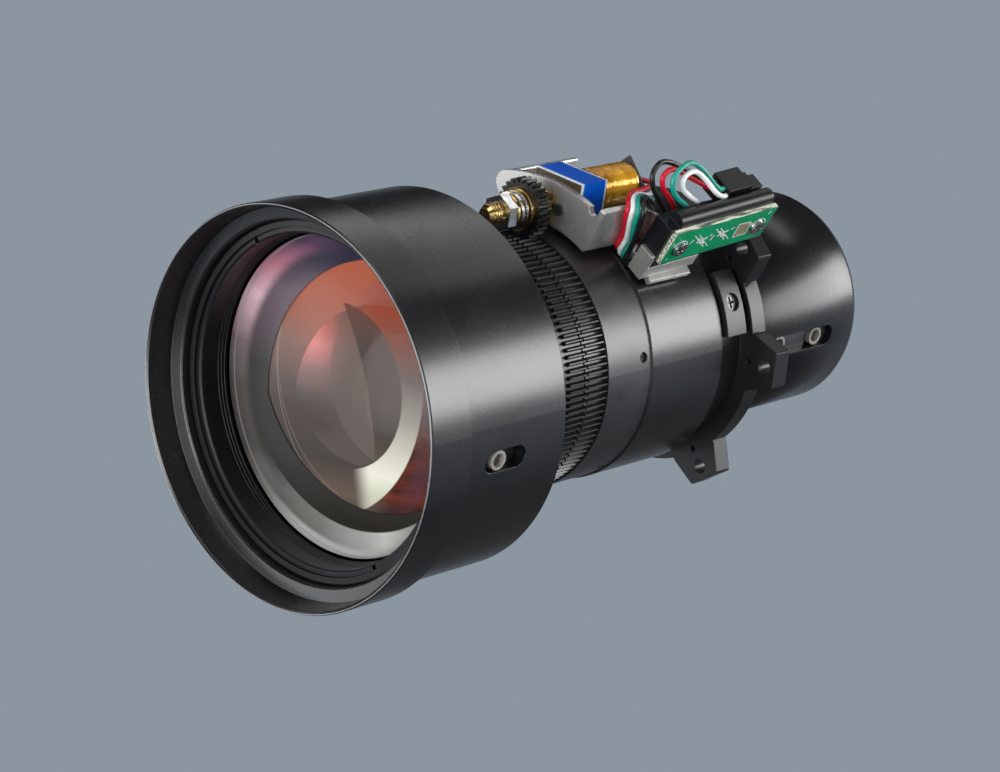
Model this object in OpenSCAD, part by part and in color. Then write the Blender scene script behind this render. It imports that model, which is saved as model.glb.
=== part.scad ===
// Motorised projection lens with a deep front hood, two ring gears and a geared focus drive

/* [Front hood] */
// Outer radius of the flared front rim
rim_r = 58; // [57:0.5:60]
// Length of the flared front band
flare_len = 15.4; // [10:0.2:18]
// Outer radius of the hood barrel
hood_r = 55.5; // [54.5:0.25:56.5]
// Length of the whole hood
hood_len = 55.8; // [54:0.2:60]
// Radius at which the hood is bored for the front lens cell
hood_bore_r = 52; // [51.5:0.1:52.5]
// Depth of the light trap in front of the lens cell
trap_depth = 8.4; // [7:0.2:9]
// Radius of the light trap at its deep end
trap_r = 56; // [55:0.1:56.3]
// Thickness of the hood's rear wall
hood_wall_t = 3.8; // [3:0.1:4]
// Radius of the rounded rim edge
rim_edge = 0.6; // [0.3:0.05:0.8]

/* [Front lens group] */
// Distance from the rim to the front of the lens cell
cell_setback = 11.5; // [11.2:0.1:12]
// Length of the wide part of the lens cell
cell_len = 32.5; // [31.5:0.1:33]
// Length of the tail that slides in the guide tube
tail_len = 32; // [28:0.5:34]
// Wall of the tail
tail_wall = 2.4; // [1.8:0.1:2.6]
// Radius of the front lens
lens_a_r = 49.6; // [49:0.1:50]
// Radius of the second lens
lens_b_r = 40; // [38:0.2:41]
// Radius of the third lens
lens_c_r = 33; // [32:0.2:34]
// Clear radius of the retaining ring at the glass
retainer_clear_r = 46.9; // [46:0.1:47.2]
// Clear radius of the retaining ring at its front
retainer_mouth_r = 47.8; // [47.5:0.1:48.2]
// Radius of the two spanner holes
spanner_r = 0.8; // [0.5:0.1:1]

/* [Focus movement] */
// Forward travel of the front lens group
focus_forward = 2.4; // [1:0.1:2.5]
// Rearward travel of the front lens group
focus_back = 7.2; // [4:0.1:7.4]
// Rearward travel of the front group for one degree of the focus ring
focus_lead = 0.096; // [0.09:0.001:0.11]
// Distance from the rim to the focus rollers
focus_roller_place = 29.6; // [28.6:0.1:30.6]

/* [Ring gears] */
// Gear module of both ring gears and the drive pinion
gear_module = 0.65; // [0.64:0.01:0.66]
// Teeth on each ring gear
ring_teeth = 119; // [119:1:120]
// Teeth on the drive pinion
pinion_teeth = 26; // [25:1:27]
// Face width of the focus ring gear
focus_gear_w = 7; // [6:0.1:8]
// Length of the plain sleeve in front of the focus ring gear
focus_sleeve_len = 19.4; // [19:0.1:22]
// Face width of the zoom ring gear
zoom_gear_w = 8.2; // [7:0.1:9]
// Length of the plain sleeve behind the zoom ring gear
zoom_sleeve_len = 18.2; // [16:0.1:20]
// Outer radius of the zoom ring's sleeve
zoom_sleeve_r = 39.7; // [39.4:0.05:40]
// Outer radius of the focus ring's sleeve
focus_sleeve_r = 38; // [37.9:0.05:38.2]
// Thickness of the spacer between the two rings
spacer_t = 0.4; // [0.3:0.05:1]

/* [Barrels] */
// Outer radius of the guide tube that the rings turn on
guide_r = 35.8; // [35.6:0.05:36]
// Bore radius of the guide tube and the rear barrel
guide_bore_r = 31.4; // [31.2:0.05:31.6]
// Outer radius of the main barrel
main_r = 40.2; // [39.9:0.05:40.5]
// Length of the main barrel
main_len = 32.7; // [30:0.1:36]
// Outer radius of the rear barrel
rear_r = 33.7; // [33.5:0.05:34]
// Length of the rear barrel behind the mounting face
rear_len = 57.1; // [56:0.1:64]

/* [Mounting flange] */
// Thickness of the flange
flange_t = 6; // [5:0.1:8]
// Radius of the flange between its ears
flange_r = 42.3; // [42:0.1:43]
// Length of the collar in front of the flange
collar_len = 11.4; // [11:0.1:13]
// Outer radius of the collar
collar_r = 37.3; // [37:0.1:38]
// Radius of the circle that the ear holes lie on
ear_pitch_r = 47.1; // [46.5:0.1:47.8]
// Radius of each ear hole
ear_hole_r = 2.2; // [1.8:0.05:2.5]
// Radial reach of the ears
ear_tip_r = 51.2; // [50.5:0.1:53]
// Half the width of an ear where it leaves the flange
ear_root_half_w = 8.8; // [8:0.1:9.5]
// Half the width of an ear at its tip
ear_tip_half_w = 5.8; // [5:0.1:6.5]

/* [Zoom movement] */
// Forward turn of the zoom ring in degrees
zoom_turn_back = 25; // [15:1:25]
// Rearward turn of the zoom ring in degrees
zoom_turn_on = 30; // [15:1:30]
// Travel of the first zoom group for one degree of turn
zoom_lead_a = 0.16; // [0.12:0.01:0.16]
// Travel of the second zoom group for one degree of turn
zoom_lead_b = 0.13; // [0.1:0.01:0.14]
// Distance from the mounting face to the first zoom rollers
zoom_roller_a = 19.5; // [19:0.1:20]
// Distance from the mounting face to the second zoom rollers
zoom_roller_b = 37.5; // [37:0.1:38]
// Wall of the cam barrel
cam_wall = 2; // [1.6:0.1:2.4]
// Radius of the two zoom lenses
zoom_lens_r = 26; // [24:0.2:27]
// Length of each zoom lens cell
zoom_cell_len = 13; // [11:0.2:14]

/* [Rollers and pins] */
// Outer radius of every guide roller
roller_r = 2.9; // [2.7:0.05:3]
// Bore radius of every guide roller
roller_bore_r = 2; // [1.6:0.05:2.1]
// Radius of the drive pins
pin_r = 1.5; // [1.3:0.05:1.6]

/* [Drive clutch] */
// Radius of the threaded drive shaft
shaft_r = 3; // [2.5:0.05:3.1]
// Length of shaft that shows in front of the pinion
shaft_reach = 15; // [13.5:0.1:18]
// Thickness of the pinion
pinion_t = 4; // [3:0.1:4.2]
// Setback of the pinion from the front of the zoom ring gear
pinion_setback = 3.5; // [3.2:0.1:4]
// Distance across the flats of the clutch nut
nut_flats = 9.8; // [9:0.1:10.5]
// Thickness of the clutch nut
nut_t = 3.4; // [2.8:0.1:3.6]
// Outer radius of the friction washers
friction_r = 6.4; // [6:0.1:6.8]
// Outer radius of the spring washers
spring_r = 5.6; // [5.2:0.1:6]
// Thickness of the friction washer against the pinion
friction_t = 1.6; // [1.2:0.05:1.8]
// Thickness of the thrust washer under the nut
thrust_t = 1; // [0.8:0.05:1.2]
// Thickness of one spring washer
spring_t = 0.9; // [0.7:0.05:1]
// Number of spring washers
spring_count = 4; // [3:1:4]
// Outer radius of the bearing bush
bush_r = 3.8; // [3.6:0.05:4.2]
// Distance from the pinion to the front of the bracket
bush_len = 6; // [5:0.1:7]

/* [Motor bracket] */
// Thickness of the bracket's front plate
plate_t = 2; // [1.6:0.1:2.5]
// Inner radius of the bracket's arched saddle
saddle_r = 42; // [41.8:0.05:42.3]
// Thickness of the saddle
saddle_t = 1.9; // [1.6:0.05:1.9]
// Outer radius of the bracket's front plate
plate_r = 55; // [54:0.1:56]
// Length of the bracket behind its front plate
bracket_len = 31; // [30:0.1:32]
// Length of the bracket's high side wall
side_wall_len = 30; // [28:0.5:31]

/* [Motor and gearbox] */
// Width of the gearbox
gearbox_w = 17.6; // [16:0.1:18]
// Height of the gearbox
gearbox_h = 11.7; // [10:0.1:12]
// Length of the gearbox
gearbox_len = 12; // [10:0.1:13]
// Radius of the motor can
motor_r = 6; // [5:0.1:6.2]
// Length of the motor can
motor_len = 17.4; // [14:0.1:18]
// Side of the motor's square end plate
end_plate_side = 11.8; // [10:0.1:12.2]
// Thickness of the motor's end plate
end_plate_t = 1; // [0.8:0.1:1.4]
// Thickness of the insulating wraps
wrap_t = 0.35; // [0.2:0.05:0.4]

/* [Circuit board] */
// Length of the circuit board
board_len = 43.4; // [40:0.2:44]
// Width of the circuit board
board_w = 12.6; // [12:0.1:14]
// Thickness of the circuit board
board_t = 1.6; // [1:0.1:1.8]
// Thickness of the connector holder behind the board
holder_t = 6.9; // [6:0.1:7.2]
// Radius of the rounded bar along the holder's top
bar_r = 2.6; // [2:0.1:2.7]
// Radius of each lead
lead_r = 0.8; // [0.6:0.05:0.85]

/* [Hidden] */
$fn = 96;

// Shared clearances and overruns
cut = 1;
run_fit = 0.06;
slide_fit = 0.08;
side_play = 0.15;
roller_fit = 0.3;
pin_fit = 0.1;
seat_gap = 0.05;
edge_break = 0.5;

// Stations along the optical axis, measured from the mounting face
y_flange = -flange_t;
y_collar = y_flange - collar_len;
y_main = y_collar - main_len;
y_zoom_rear = y_main - side_play;
y_zoom_gear_rear = y_zoom_rear - zoom_sleeve_len;
y_zoom = y_zoom_gear_rear - zoom_gear_w;
y_spacer = y_zoom - side_play - spacer_t;
y_focus_rear = y_spacer - side_play;
y_focus_gear = y_focus_rear - focus_gear_w;
y_focus = y_focus_gear - focus_sleeve_len;
y_hood_rear = y_focus - side_play;
y_rim = y_hood_rear - hood_len;
y_cell = y_rim + cell_setback;
y_cell_rear = y_cell + cell_len;
y_tail_rear = y_cell_rear + tail_len;

// Three guide slots lie at these clock angles, seen from the front of the lens
slot_clock = 100.5;
thirds = [0, 120, 240];

// Front lens group
cell_r = hood_bore_r - slide_fit;
tail_r = guide_bore_r - slide_fit;
tail_bore_r = tail_r - tail_wall;
cell_mouth_r = lens_a_r + slide_fit;
lens_a_face_r = 75;
lens_a_back_r = 58;
lens_a_vertex = 6;
lens_a_thick = 5.5;
lens_a_seat = 33;
lens_b_face_r = 62;
lens_b_back_r = 45;
lens_b_vertex = 14;
lens_b_thick = 4;
lens_b_seat = 36;
lens_c_face_r = 55;
lens_c_back_r = 80;
lens_c_vertex = 26;
lens_c_thick = 20;
lens_c_seat = 39.6;
retainer_setback = 1;
retainer_back = 22.2;
retainer_throat = 18.1;
retainer_steps = 4;
spanner_depth = 3;
spanner_clock = -28;

// Slots and rollers
focus_slot_front = focus_roller_place - focus_forward - roller_r - roller_fit;
focus_slot_back = focus_roller_place + focus_back + roller_r + roller_fit;
roller_slot_half_w = roller_r + roller_fit;
roller_recess = 0.9;
roller_screw_depth = 1.9;
roller_head_r = roller_bore_r - slide_fit;
roller_head_t = 1.2;
roller_head_sink = 1.4;
roller_screw_r = 1.2;
zoom_slot_front = zoom_roller_a - zoom_lead_a * zoom_turn_back - roller_r - roller_fit;
zoom_slot_back = zoom_roller_b + zoom_lead_b * zoom_turn_on + roller_r + roller_fit;
cam_r = guide_bore_r - slide_fit;
cam_bore_r = cam_r - cam_wall;
cam_front = 3;
y_cam = y_zoom_gear_rear + cam_front;
cam_rear_gap = 11;
y_cam_rear = rear_len - cam_rear_gap;
cam_slot_half_w = roller_r + pin_fit;
cam_slot_steps = 14;

// Focus ring pins run in helical grooves inside the focus ring
focus_pin_back = 12.3;
y_focus_pin = y_focus + focus_pin_back;
groove_r = 37.1;
groove_half_w = pin_r + pin_fit;
groove_steps = 16;
focus_turn_on = focus_back / focus_lead;
focus_turn_back = focus_forward / focus_lead;

// Zoom ring drive pins pass through windows in the guide tube
drive_pin_clocks = [85, 145, 265, 325];
drive_pin_back = 2.8;
y_drive_pin = y_zoom_rear - drive_pin_back;
drive_pin_sink = 1.1;
window_clear = 3;

// Zoom cells
zoom_cell_r = cam_bore_r - slide_fit;
zoom_bore_r = zoom_lens_r + slide_fit;
zoom_lip = 2;
zoom_lens_face_r = 60;
zoom_lens_t = 8;

// Rear lens and its ring
rear_lens_r = guide_bore_r - slide_fit;
rear_lens_face_r = 70;
rear_lens_t = 4.5;
rear_ring_t = 3;
rear_ring_clear_r = 27;
rear_stop_t = 1;

// Pads and screws of the barrels
pad_len = 7.5;
pad_h = 1;
pad_clock = 76.5;
pad_half_angle = 12.5;
block_clock = 70.8;
block_half_angle = 14;
block_front = 0.7;
block_len = 8.5;
block_h = 4.4;
clamp_head_r = 2.7;
clamp_head_t = 1.6;
clamp_head_sink = 1.1;
clamp_thread_r = 1.5;
clamp_depth = 2.5;
ear_clocks = [52.5, 97.7, 152];
ear_dimple_r = 0.9;
ear_dimple_depth = 2;
ear_dimple_pitch_r = 41.2;

// Gear proportions
addendum = gear_module;
dedendum = 1.2 * gear_module;
tooth_play = 0.13;
pressure_angle = 20;
ring_pitch_r = ring_teeth * gear_module / 2;
pinion_pitch_r = pinion_teeth * gear_module / 2;
ring_tip_r = ring_pitch_r + addendum;

// Drive unit, in a frame whose first axis points away from the optical axis
drive_clock = 11;
drive_r = ring_pitch_r + pinion_pitch_r;
y_pinion = y_zoom + pinion_setback;
y_plate = y_pinion + pinion_t + bush_len;
y_bracket_rear = y_plate + bracket_len;
y_shaft = y_pinion - shaft_reach;
shaft_tail = 2.5;
tip_len = 1.2;
tip_r = 2.2;
bush_flange_half = 4.5;
bush_flange_t = 1.4;
bush_gap = 0.2;
shaft_flat_r = shaft_r - run_fit;

// Bracket, by clock angles
plate_clock_a = -11;
plate_clock_b = 33.5;
arm_clock = 56;
arm_front = 16.5;
lip_r = 50;
lip_t = 1.6;
side_wall_t = 2;
left_wall_h = 10;
left_wall_t = 1.6;
foot_front = 15;
foot_rear = 29.5;
foot_r = main_r + seat_gap;
shaft_hole_r = bush_r + slide_fit;
bracket_screw_clocks = [-5, 23];
bracket_screw_place = 23;
bracket_screw_r = 1.2;
bracket_head_r = 2.2;
bracket_head_t = 1.3;
bracket_screw_depth = 2.6;

// Gearbox and motor in the drive frame
gearbox_low = -2.7;
gearbox_side = -6.4;
y_gearbox = y_plate + plate_t;
y_motor = y_gearbox + gearbox_len;
motor_up = 3.6;
motor_across = 3.2;
y_end_plate = y_motor + motor_len;
gearbox_screw_up = 0.4;
gearbox_screw_across = 6.6;
gearbox_screw_r = 1;
gearbox_head_r = 1.7;
gearbox_head_t = 1.1;
tape_margin = 0.6;

// Circuit board and holder, in a frame that follows the board's upright width
board_clock = 38;
board_tilt = 4.6;
board_across = 14;
board_low = 50;
board_back = 13.9;
y_board = y_plate + board_back;
holder_low = 1.4;
holder_front = 1.2;
holder_rear = 1.4;
holder_round = 2;
bar_rise = 1.4;
shelf_depth = 6.5;
shelf_t = 2.4;
block_start = 26;
connector_h = 4;
board_screw_r = 1.1;
board_head_r = 2.5;
board_head_t = 0.9;
board_screw_in = 5;
board_screw_up = 5.4;
board_screw_depth = 4.4;

// Places that follow from the values above
guide_fit_r = guide_r + seat_gap;
y_guide = y_hood_rear - hood_wall_t;
guide_reach = 7.4;
y_guide_rear = y_collar + guide_reach;
pin_end_gap = 0.2;
roller_sink = 0.35;
focus_roller_top = hood_r - roller_sink;
rear_skin = 0.8;
zoom_roller_top = rear_r - rear_skin - roller_sink;
zoom_recess = 0.6;
end_margin_angle = 1.2;
groove_end = groove_half_w / guide_r * 180 / PI + end_margin_angle;
cam_end = cam_slot_half_w / cam_bore_r * 180 / PI + end_margin_angle;
ear_sink = 2.5;
ear_root_r = flange_r - ear_sink;
spacer_w = 1.5;
spacer_r = guide_r + spacer_w;
zoom_lip_t = 1.5;
zoom_bulge = 3;
zoom_face_r = (zoom_lens_r * zoom_lens_r + zoom_bulge * zoom_bulge) / (2 * zoom_bulge);
rear_stop_depth = 7.6;
rear_stop = rear_len - rear_stop_depth;
rear_lip = 2.5;
rear_relief = 0.5;
journal_r = 2;
rear_chamfer = 2.6;
rear_face_r = 150;
clamp_screw_back = 5;
y_clamp_screw = y_collar + clamp_screw_back;
clamp_reach = 1.1;
clamp_head_seat = collar_r + block_h - clamp_head_sink - clamp_head_t;
y_springs = y_pinion - friction_t - spring_count * spring_t;
y_nut = y_springs - thrust_t - nut_t;
thrust_step = 1.2;
thrust_r = friction_r - thrust_step;
plate_round = 4;
plate_round_angle = plate_round / plate_r * 180 / PI;
wall_foot = 1;
wall_angle = (side_wall_t + wall_foot) / saddle_r * 180 / PI;
wall_mid_angle = side_wall_t / 2 / saddle_r * 180 / PI;
wall_cut_angle = 1.5 * wall_mid_angle;
lead_slot_front = 20.2;
lead_slot_clock = 46.6;
saddle_mid_r = saddle_r + saddle_t / 2;
arm_over = 3.5;
foot_half_angle = 5;
side_wall_rise = 2;
wall_chop_len = 13.5;
wall_chop_drop = 7;
left_wall_drop = 7.4;
left_wall_side = -17;
holder_drop = 3;
pedestal_h = 7.2;
pedestal_w = 5.4;
pedestal_len = 20;
lip_gap = 0.1;
lip_rise = 2;
notch_r = 1.8;
gearbox_screw_depth = 3;
socket_share = 0.55;
cross_depth_share = 0.7;
cross_width_share = 0.26;
cross_len_share = 1.3;
bar_front = 2.6;
bar_lift = 0.6;
shelf_lead = 1;
block_back = -0.8;
connector_w = 7.9;
connector_len = 10;
latch_side = 1.6;
latch_w = 5;
latch_h = 1.8;
socket_wall = 0.8;
socket_h = 3.6;
socket_depth = 8;

// Routes of the four leads from the motor to the connector block
lead_sides = 8;
red_route = [
    [48, -19.3, 32.4], [48, -19.3, 34.2], [48.8, -17.7, 37], [50.5, -14.5, 36.6], [56, -9.1, 21.8],
    [58.2, -7.2, 15], [59, -4.6, 10.8], [58.5, -2.1, 8.6], [55.3, -1, 8.8], [47.8, -0.8, 12.6],
    [44, -0.5, 12.6], [41.1, -0.4, 16.4], [41.1, -0.4, 21.5], [42.8, -0.2, 25.6], [47, 0.4, 28],
    [53, 1.2, 28], [58.8, 1.6, 25.2], [63.2, 0.8, 20.6], [66.6, -0.4, 16.6], [69.8, -1.8, 15.4],
    [71.4, -2.8, 18.4], [70.4, -2.6, 22.6], [68.4, -1.4, 27.4], [66.9, 0.8, 32.2], [66.3, 2.6, 35.4],
    [66.3, 2.9, 37.04], [66.43, 2.9, 38.66]
];
black_route = [
    [42.6, -16.5, 32.4], [42.6, -16.5, 34.2], [43.4, -14.9, 37], [45, -11.7, 36.6], [50.8, -5.8, 29],
    [60.4, -2.2, 16.2], [63.2, -0.4, 10.2], [62, 3.2, 8], [56.6, 4.5, 8.8], [48, 4.5, 11.4],
    [43, 5, 11.6], [40.8, 5.2, 15.6], [40.8, 5.2, 21], [42.6, 4.6, 24.8], [46.6, 3.8, 26],
    [52, 3.2, 25], [57.6, 2.6, 21.4], [62.4, 1.4, 16.8], [66.6, -0.6, 12.6], [70.2, -3, 11.6],
    [72.4, -5, 15], [71.6, -5.4, 20], [69.4, -4.6, 26], [67.4, -2.6, 31.4], [66.3, -0.4, 34.8],
    [66.2, 1.1, 37.06], [66.33, 1.1, 38.67]
];
green_route = [
    [44.3, -17.4, 32.4], [44.3, -17.4, 34.2], [45.1, -15.8, 37], [46.7, -12.6, 36.6], [53, -7, 27.2],
    [59.8, -4, 15.8], [61.8, -1.8, 10.4], [60.8, 1.4, 8.2], [56.2, 2.6, 8.8], [47.8, 2.9, 12.6],
    [43.2, 3.2, 12.6], [41, 3.3, 16.4], [41, 3.3, 25.6], [43, 3.7, 29.4], [47, 4.2, 31.4],
    [53, 4.4, 31.8], [58.4, 4.4, 29.8], [62.8, 4.4, 24.8], [66.6, 4.2, 18.8], [70.2, 3, 15],
    [73.4, 1.2, 15.4], [75.2, -0.4, 19.6], [74.2, -1.6, 25], [72, -1.2, 29.8], [69.8, 0.8, 33.2],
    [68.1, 3.6, 35.4], [67.47, 4.7, 36.93], [67.6, 4.7, 38.55]
];
white_route = [
    [46, -18.3, 32.4], [46, -18.3, 34.2], [46.9, -16.7, 37], [48.5, -13.5, 36.6], [54, -8.4, 26],
    [59, -5.6, 15.4], [60.4, -3.2, 10.6], [59.6, -0.4, 8.4], [55.8, 0.7, 8.8], [47.8, 1, 12.6],
    [43.6, 1.3, 12.6], [41.1, 1.4, 16.4], [41.1, 1.4, 30], [42.9, 1.8, 34], [47, 2.8, 36],
    [53, 3.8, 36.6], [58.8, 4.2, 35.2], [63, 4.3, 30], [66.2, 4, 24.6], [69, 3.2, 20.4],
    [72.2, 1.8, 19.6], [73.2, 0.8, 23.4], [71.6, 0.8, 28], [69.4, 2.6, 31.6], [67.3, 5.2, 34.4],
    [66.27, 6.5, 37.05], [66.4, 6.5, 38.66]
];

// Frames

module lens_axis() rotate([-90, 0, 0]) children();

module at_clock(clock) rotate([0, 0, clock - 90]) children();

module drive_frame() lens_axis() at_clock(drive_clock) translate([drive_r, 0, 0]) children();

module board_frame()
    lens_axis() at_clock(board_clock) translate([board_low, 0, y_board]) rotate([0, board_tilt, 0])
        children();

// Shared shapes

module tube(r_out, r_in, y_a, y_b)
    translate([0, 0, y_a]) difference() {
        cylinder(r = r_out, h = y_b - y_a);
        translate([0, 0, -cut]) cylinder(r = r_in, h = y_b - y_a + 2 * cut);
    }

module arch(r_out, r_in, y_a, y_b, clock_a, clock_b)
    translate([0, 0, y_a]) rotate([0, 0, clock_a - 90])
        rotate_extrude(angle = clock_b - clock_a)
            translate([r_in, 0]) square([r_out - r_in, y_b - y_a]);

module radial_pin(r, r_a, r_b, y) translate([r_a, 0, y]) rotate([0, 90, 0])
    cylinder(r = r, h = r_b - r_a);

module radial_slot(half_w, r_a, r_b, y_a, y_b) {
    radial_pin(half_w, r_a, r_b, y_a + half_w);
    radial_pin(half_w, r_a, r_b, y_b - half_w);
    translate([r_a, -half_w, y_a + half_w]) cube([r_b - r_a, 2 * half_w, y_b - y_a - 2 * half_w]);
}

// Corners of a groove's cross-section: low and high radius, front and back edge
function groove_corners(r_a, r_b, half_w, turn, y, rise) = [
    for (k = [[r_a, -1], [r_b, -1], [r_b, 1], [r_a, 1]])
        let (mid_r = (r_a + r_b) / 2, tilt = atan(rise / mid_r), a = turn + k[1] * half_w * sin(tilt)
            / mid_r * 180 / PI)
            [k[0] * cos(a), k[0] * sin(a), y + k[1] * half_w * cos(tilt)]
];

// Helical groove whose centre moves by lead for each degree that the pin turns back
module helical_groove(r_a, r_b, half_w, y, lead, turn_a, turn_b, steps) {
    rise = lead * 180 / PI;
    rings = [
        for (i = [0:steps])
            let (turn = turn_a + (turn_b - turn_a) * i / steps)
                groove_corners(r_a, r_b, half_w, -turn, y + lead * turn, rise)
    ];
    corners = [for (ring = rings) each ring];
    sides = [
        for (i = [0:steps - 1], k = [0:3])
            let (a = 4 * i + k, b = 4 * i + (k + 1) % 4) each [[a, b + 4, b], [a, a + 4, b + 4]]
    ];
    ends = [[0, 1, 2], [0, 2, 3], [4 * steps, 4 * steps + 2, 4 * steps + 1],
        [4 * steps, 4 * steps + 3, 4 * steps + 2]];
    polyhedron(corners, concat(sides, ends));
}

// Involute tooth outline
function inv(a) = tan(a) * 180 / PI - a;

function half_tooth_angle(teeth, r) =
    let (pitch_r = teeth * gear_module / 2, base_r = pitch_r * cos(pressure_angle))
        (90 - tooth_play / pitch_r * 180 / PI / 2 * teeth) / teeth + inv(pressure_angle)
        - inv(acos(min(1, base_r / r)));

function retainer_step_r(k) = retainer_mouth_r - (retainer_mouth_r - retainer_clear_r)
    * k / retainer_steps;

function retainer_step_y(k) = retainer_throat + (retainer_back - retainer_throat) * k / retainer_steps;

function tooth(teeth, k) =
    let (
        pitch_r = teeth * gear_module / 2,
        base_r = pitch_r * cos(pressure_angle),
        root_r = pitch_r - dedendum,
        low_r = max(base_r, root_r),
        tip = pitch_r + addendum,
        a = 360 * k / teeth
    )
        [
            for (q = [[root_r, low_r, -1], [pitch_r, pitch_r, -1], [tip, tip, -1], [tip, tip, 1],
                [pitch_r, pitch_r, 1], [root_r, low_r, 1]])
                let (b = a + q[2] * half_tooth_angle(teeth, q[1])) [q[0] * cos(b), q[0] * sin(b)]
        ];

module gear_outline(teeth) polygon([for (k = [0:teeth - 1]) each tooth(teeth, k)]);

// Lens ground to a sphere in front and flat behind
module flat_backed_lens(r, y_face, face_r, y_back) intersection() {
    translate([0, 0, y_face]) cylinder(r = r, h = y_back - y_face);
    translate([0, 0, y_face + face_r]) sphere(r = face_r, $fn = 160);
}

// Lens hollowed behind by a second sphere
module hollow_lens(r, y_face, face_r, thick, back_r, y_back) difference() {
    flat_backed_lens(r, y_face, face_r, y_back);
    translate([0, 0, y_face + thick + back_r]) sphere(r = back_r, $fn = 160);
}

// Guide roller with a stepped bore, and the screw that holds it
module roller(r_a, r_b, y) difference() {
    radial_pin(roller_r, r_a, r_b, y);
    radial_pin(roller_bore_r, r_b - roller_head_sink - roller_head_t, r_b + cut, y);
    radial_pin(roller_screw_r + seat_gap, r_a - cut, r_b, y);
}

module roller_screw(r_tip, r_b, y) {
    radial_pin(roller_screw_r, r_tip, r_b - roller_head_sink, y);
    difference() {
        radial_pin(roller_head_r, r_b - roller_head_sink - roller_head_t, r_b - roller_head_sink, y);
        radial_cross(r_b - roller_head_sink, roller_head_r, y);
    }
}

// Cross recess in a screw head whose top lies at radius r
module radial_cross(r, head_r, y) for (turn = [0, 90])
    translate([r, 0, y]) rotate([turn, 0, 0])
        cube([head_r * cross_depth_share, head_r * cross_width_share, head_r * cross_len_share], center =
            true);

// Front hood

module front_hood() color([0.09, 0.09, 0.1]) lens_axis() difference() {
    translate([0, 0, y_rim]) rotate_extrude($fn = 160) polygon([
        [rim_r - rim_edge, 0], [rim_r, rim_edge], [rim_r, flare_len], [hood_r, flare_len + rim_edge],
        [hood_r, hood_len - edge_break], [hood_r - edge_break, hood_len], [guide_fit_r, hood_len],
        [guide_fit_r, hood_len - hood_wall_t], [hood_bore_r, hood_len - hood_wall_t],
        [hood_bore_r, trap_depth + 2 * edge_break], [hood_bore_r + edge_break, trap_depth + edge_break],
        [trap_r, trap_depth], [rim_r - 2 * rim_edge, edge_break]
    ]);
    for (third = thirds) at_clock(slot_clock + third)
        radial_slot(roller_slot_half_w, hood_bore_r - cut, hood_r + cut, y_rim + focus_slot_front,
            y_rim + focus_slot_back);
}

// Front lens group, which slides in the hood and the guide tube

module front_cell() color([0.07, 0.07, 0.08]) lens_axis() difference() {
    translate([0, 0, y_rim]) rotate_extrude($fn = 160) polygon([
        [cell_mouth_r, cell_setback], [cell_r - edge_break, cell_setback],
            [cell_r, cell_setback + edge_break],
        [cell_r, cell_setback + cell_len], [tail_r, cell_setback + cell_len],
        [tail_r, cell_setback + cell_len + tail_len], [tail_bore_r, cell_setback + cell_len + tail_len],
        [tail_bore_r, lens_c_seat], [lens_c_r + slide_fit, lens_c_seat],
            [lens_c_r + slide_fit, lens_b_seat],
        [lens_b_r + slide_fit, lens_b_seat], [lens_b_r + slide_fit, lens_a_seat],
            [cell_mouth_r, lens_a_seat]
    ]);
    for (third = thirds) at_clock(slot_clock + third) {
        radial_pin(roller_r + seat_gap, cell_r - roller_recess, cell_r + cut, y_rim + focus_roller_place);
        radial_pin(roller_screw_r + seat_gap, cell_r - roller_screw_depth, cell_r,
            y_rim + focus_roller_place);
        radial_pin(pin_r + seat_gap, tail_bore_r - cut, tail_r + cut, y_focus_pin);
    }
}

module front_retaining_ring() color([0.06, 0.06, 0.06]) lens_axis() difference() {
    translate([0, 0, y_rim]) rotate_extrude($fn = 160) polygon(concat(
        [[cell_mouth_r - seat_gap, retainer_back],
            [cell_mouth_r - seat_gap, cell_setback + retainer_setback],
         [retainer_mouth_r + edge_break, cell_setback + retainer_setback],
         [retainer_mouth_r, cell_setback + retainer_setback + edge_break],
             [retainer_mouth_r, retainer_throat]],
        [for (k = [1:retainer_steps])
            each [[retainer_step_r(k - 1), retainer_step_y(k)], [retainer_step_r(k), retainer_step_y(k)]]]
    ));
    for (half = [0, 180]) at_clock(spanner_clock + half)
        translate([(retainer_mouth_r + cell_mouth_r) / 2, 0, y_cell + retainer_setback])
            cylinder(r = spanner_r, h = 2 * spanner_depth, center = true);
}

module front_lens() color([0.75, 0.62, 0.6, 0.5]) lens_axis()
    hollow_lens(lens_a_r, y_rim + lens_a_vertex, lens_a_face_r, lens_a_thick, lens_a_back_r,
        y_rim + lens_a_seat);

module second_lens() color([0.8, 0.65, 0.5, 0.5]) lens_axis()
    hollow_lens(lens_b_r, y_rim + lens_b_vertex, lens_b_face_r, lens_b_thick, lens_b_back_r,
        y_rim + lens_b_seat);

module third_lens() color([0.8, 0.7, 0.55, 0.5]) lens_axis()
    flat_backed_lens(lens_c_r, y_rim + lens_c_vertex, lens_c_face_r, y_rim + lens_c_seat);

module focus_rollers() color([0.78, 0.72, 0.6]) lens_axis() for (third = thirds)
    at_clock(slot_clock + third)
    roller(cell_r - roller_recess, focus_roller_top, y_rim + focus_roller_place);

module focus_roller_screws() color([0.2, 0.2, 0.2]) lens_axis() for (third = thirds)
    at_clock(slot_clock + third)
    roller_screw(cell_r - roller_screw_depth, focus_roller_top, y_rim + focus_roller_place);

module focus_pins() color([0.75, 0.75, 0.75]) lens_axis() for (third = thirds)
    at_clock(slot_clock + third)
    radial_pin(pin_r, tail_bore_r, groove_r - pin_end_gap, y_focus_pin);

// Focus ring with its gear and its inner grooves

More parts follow.
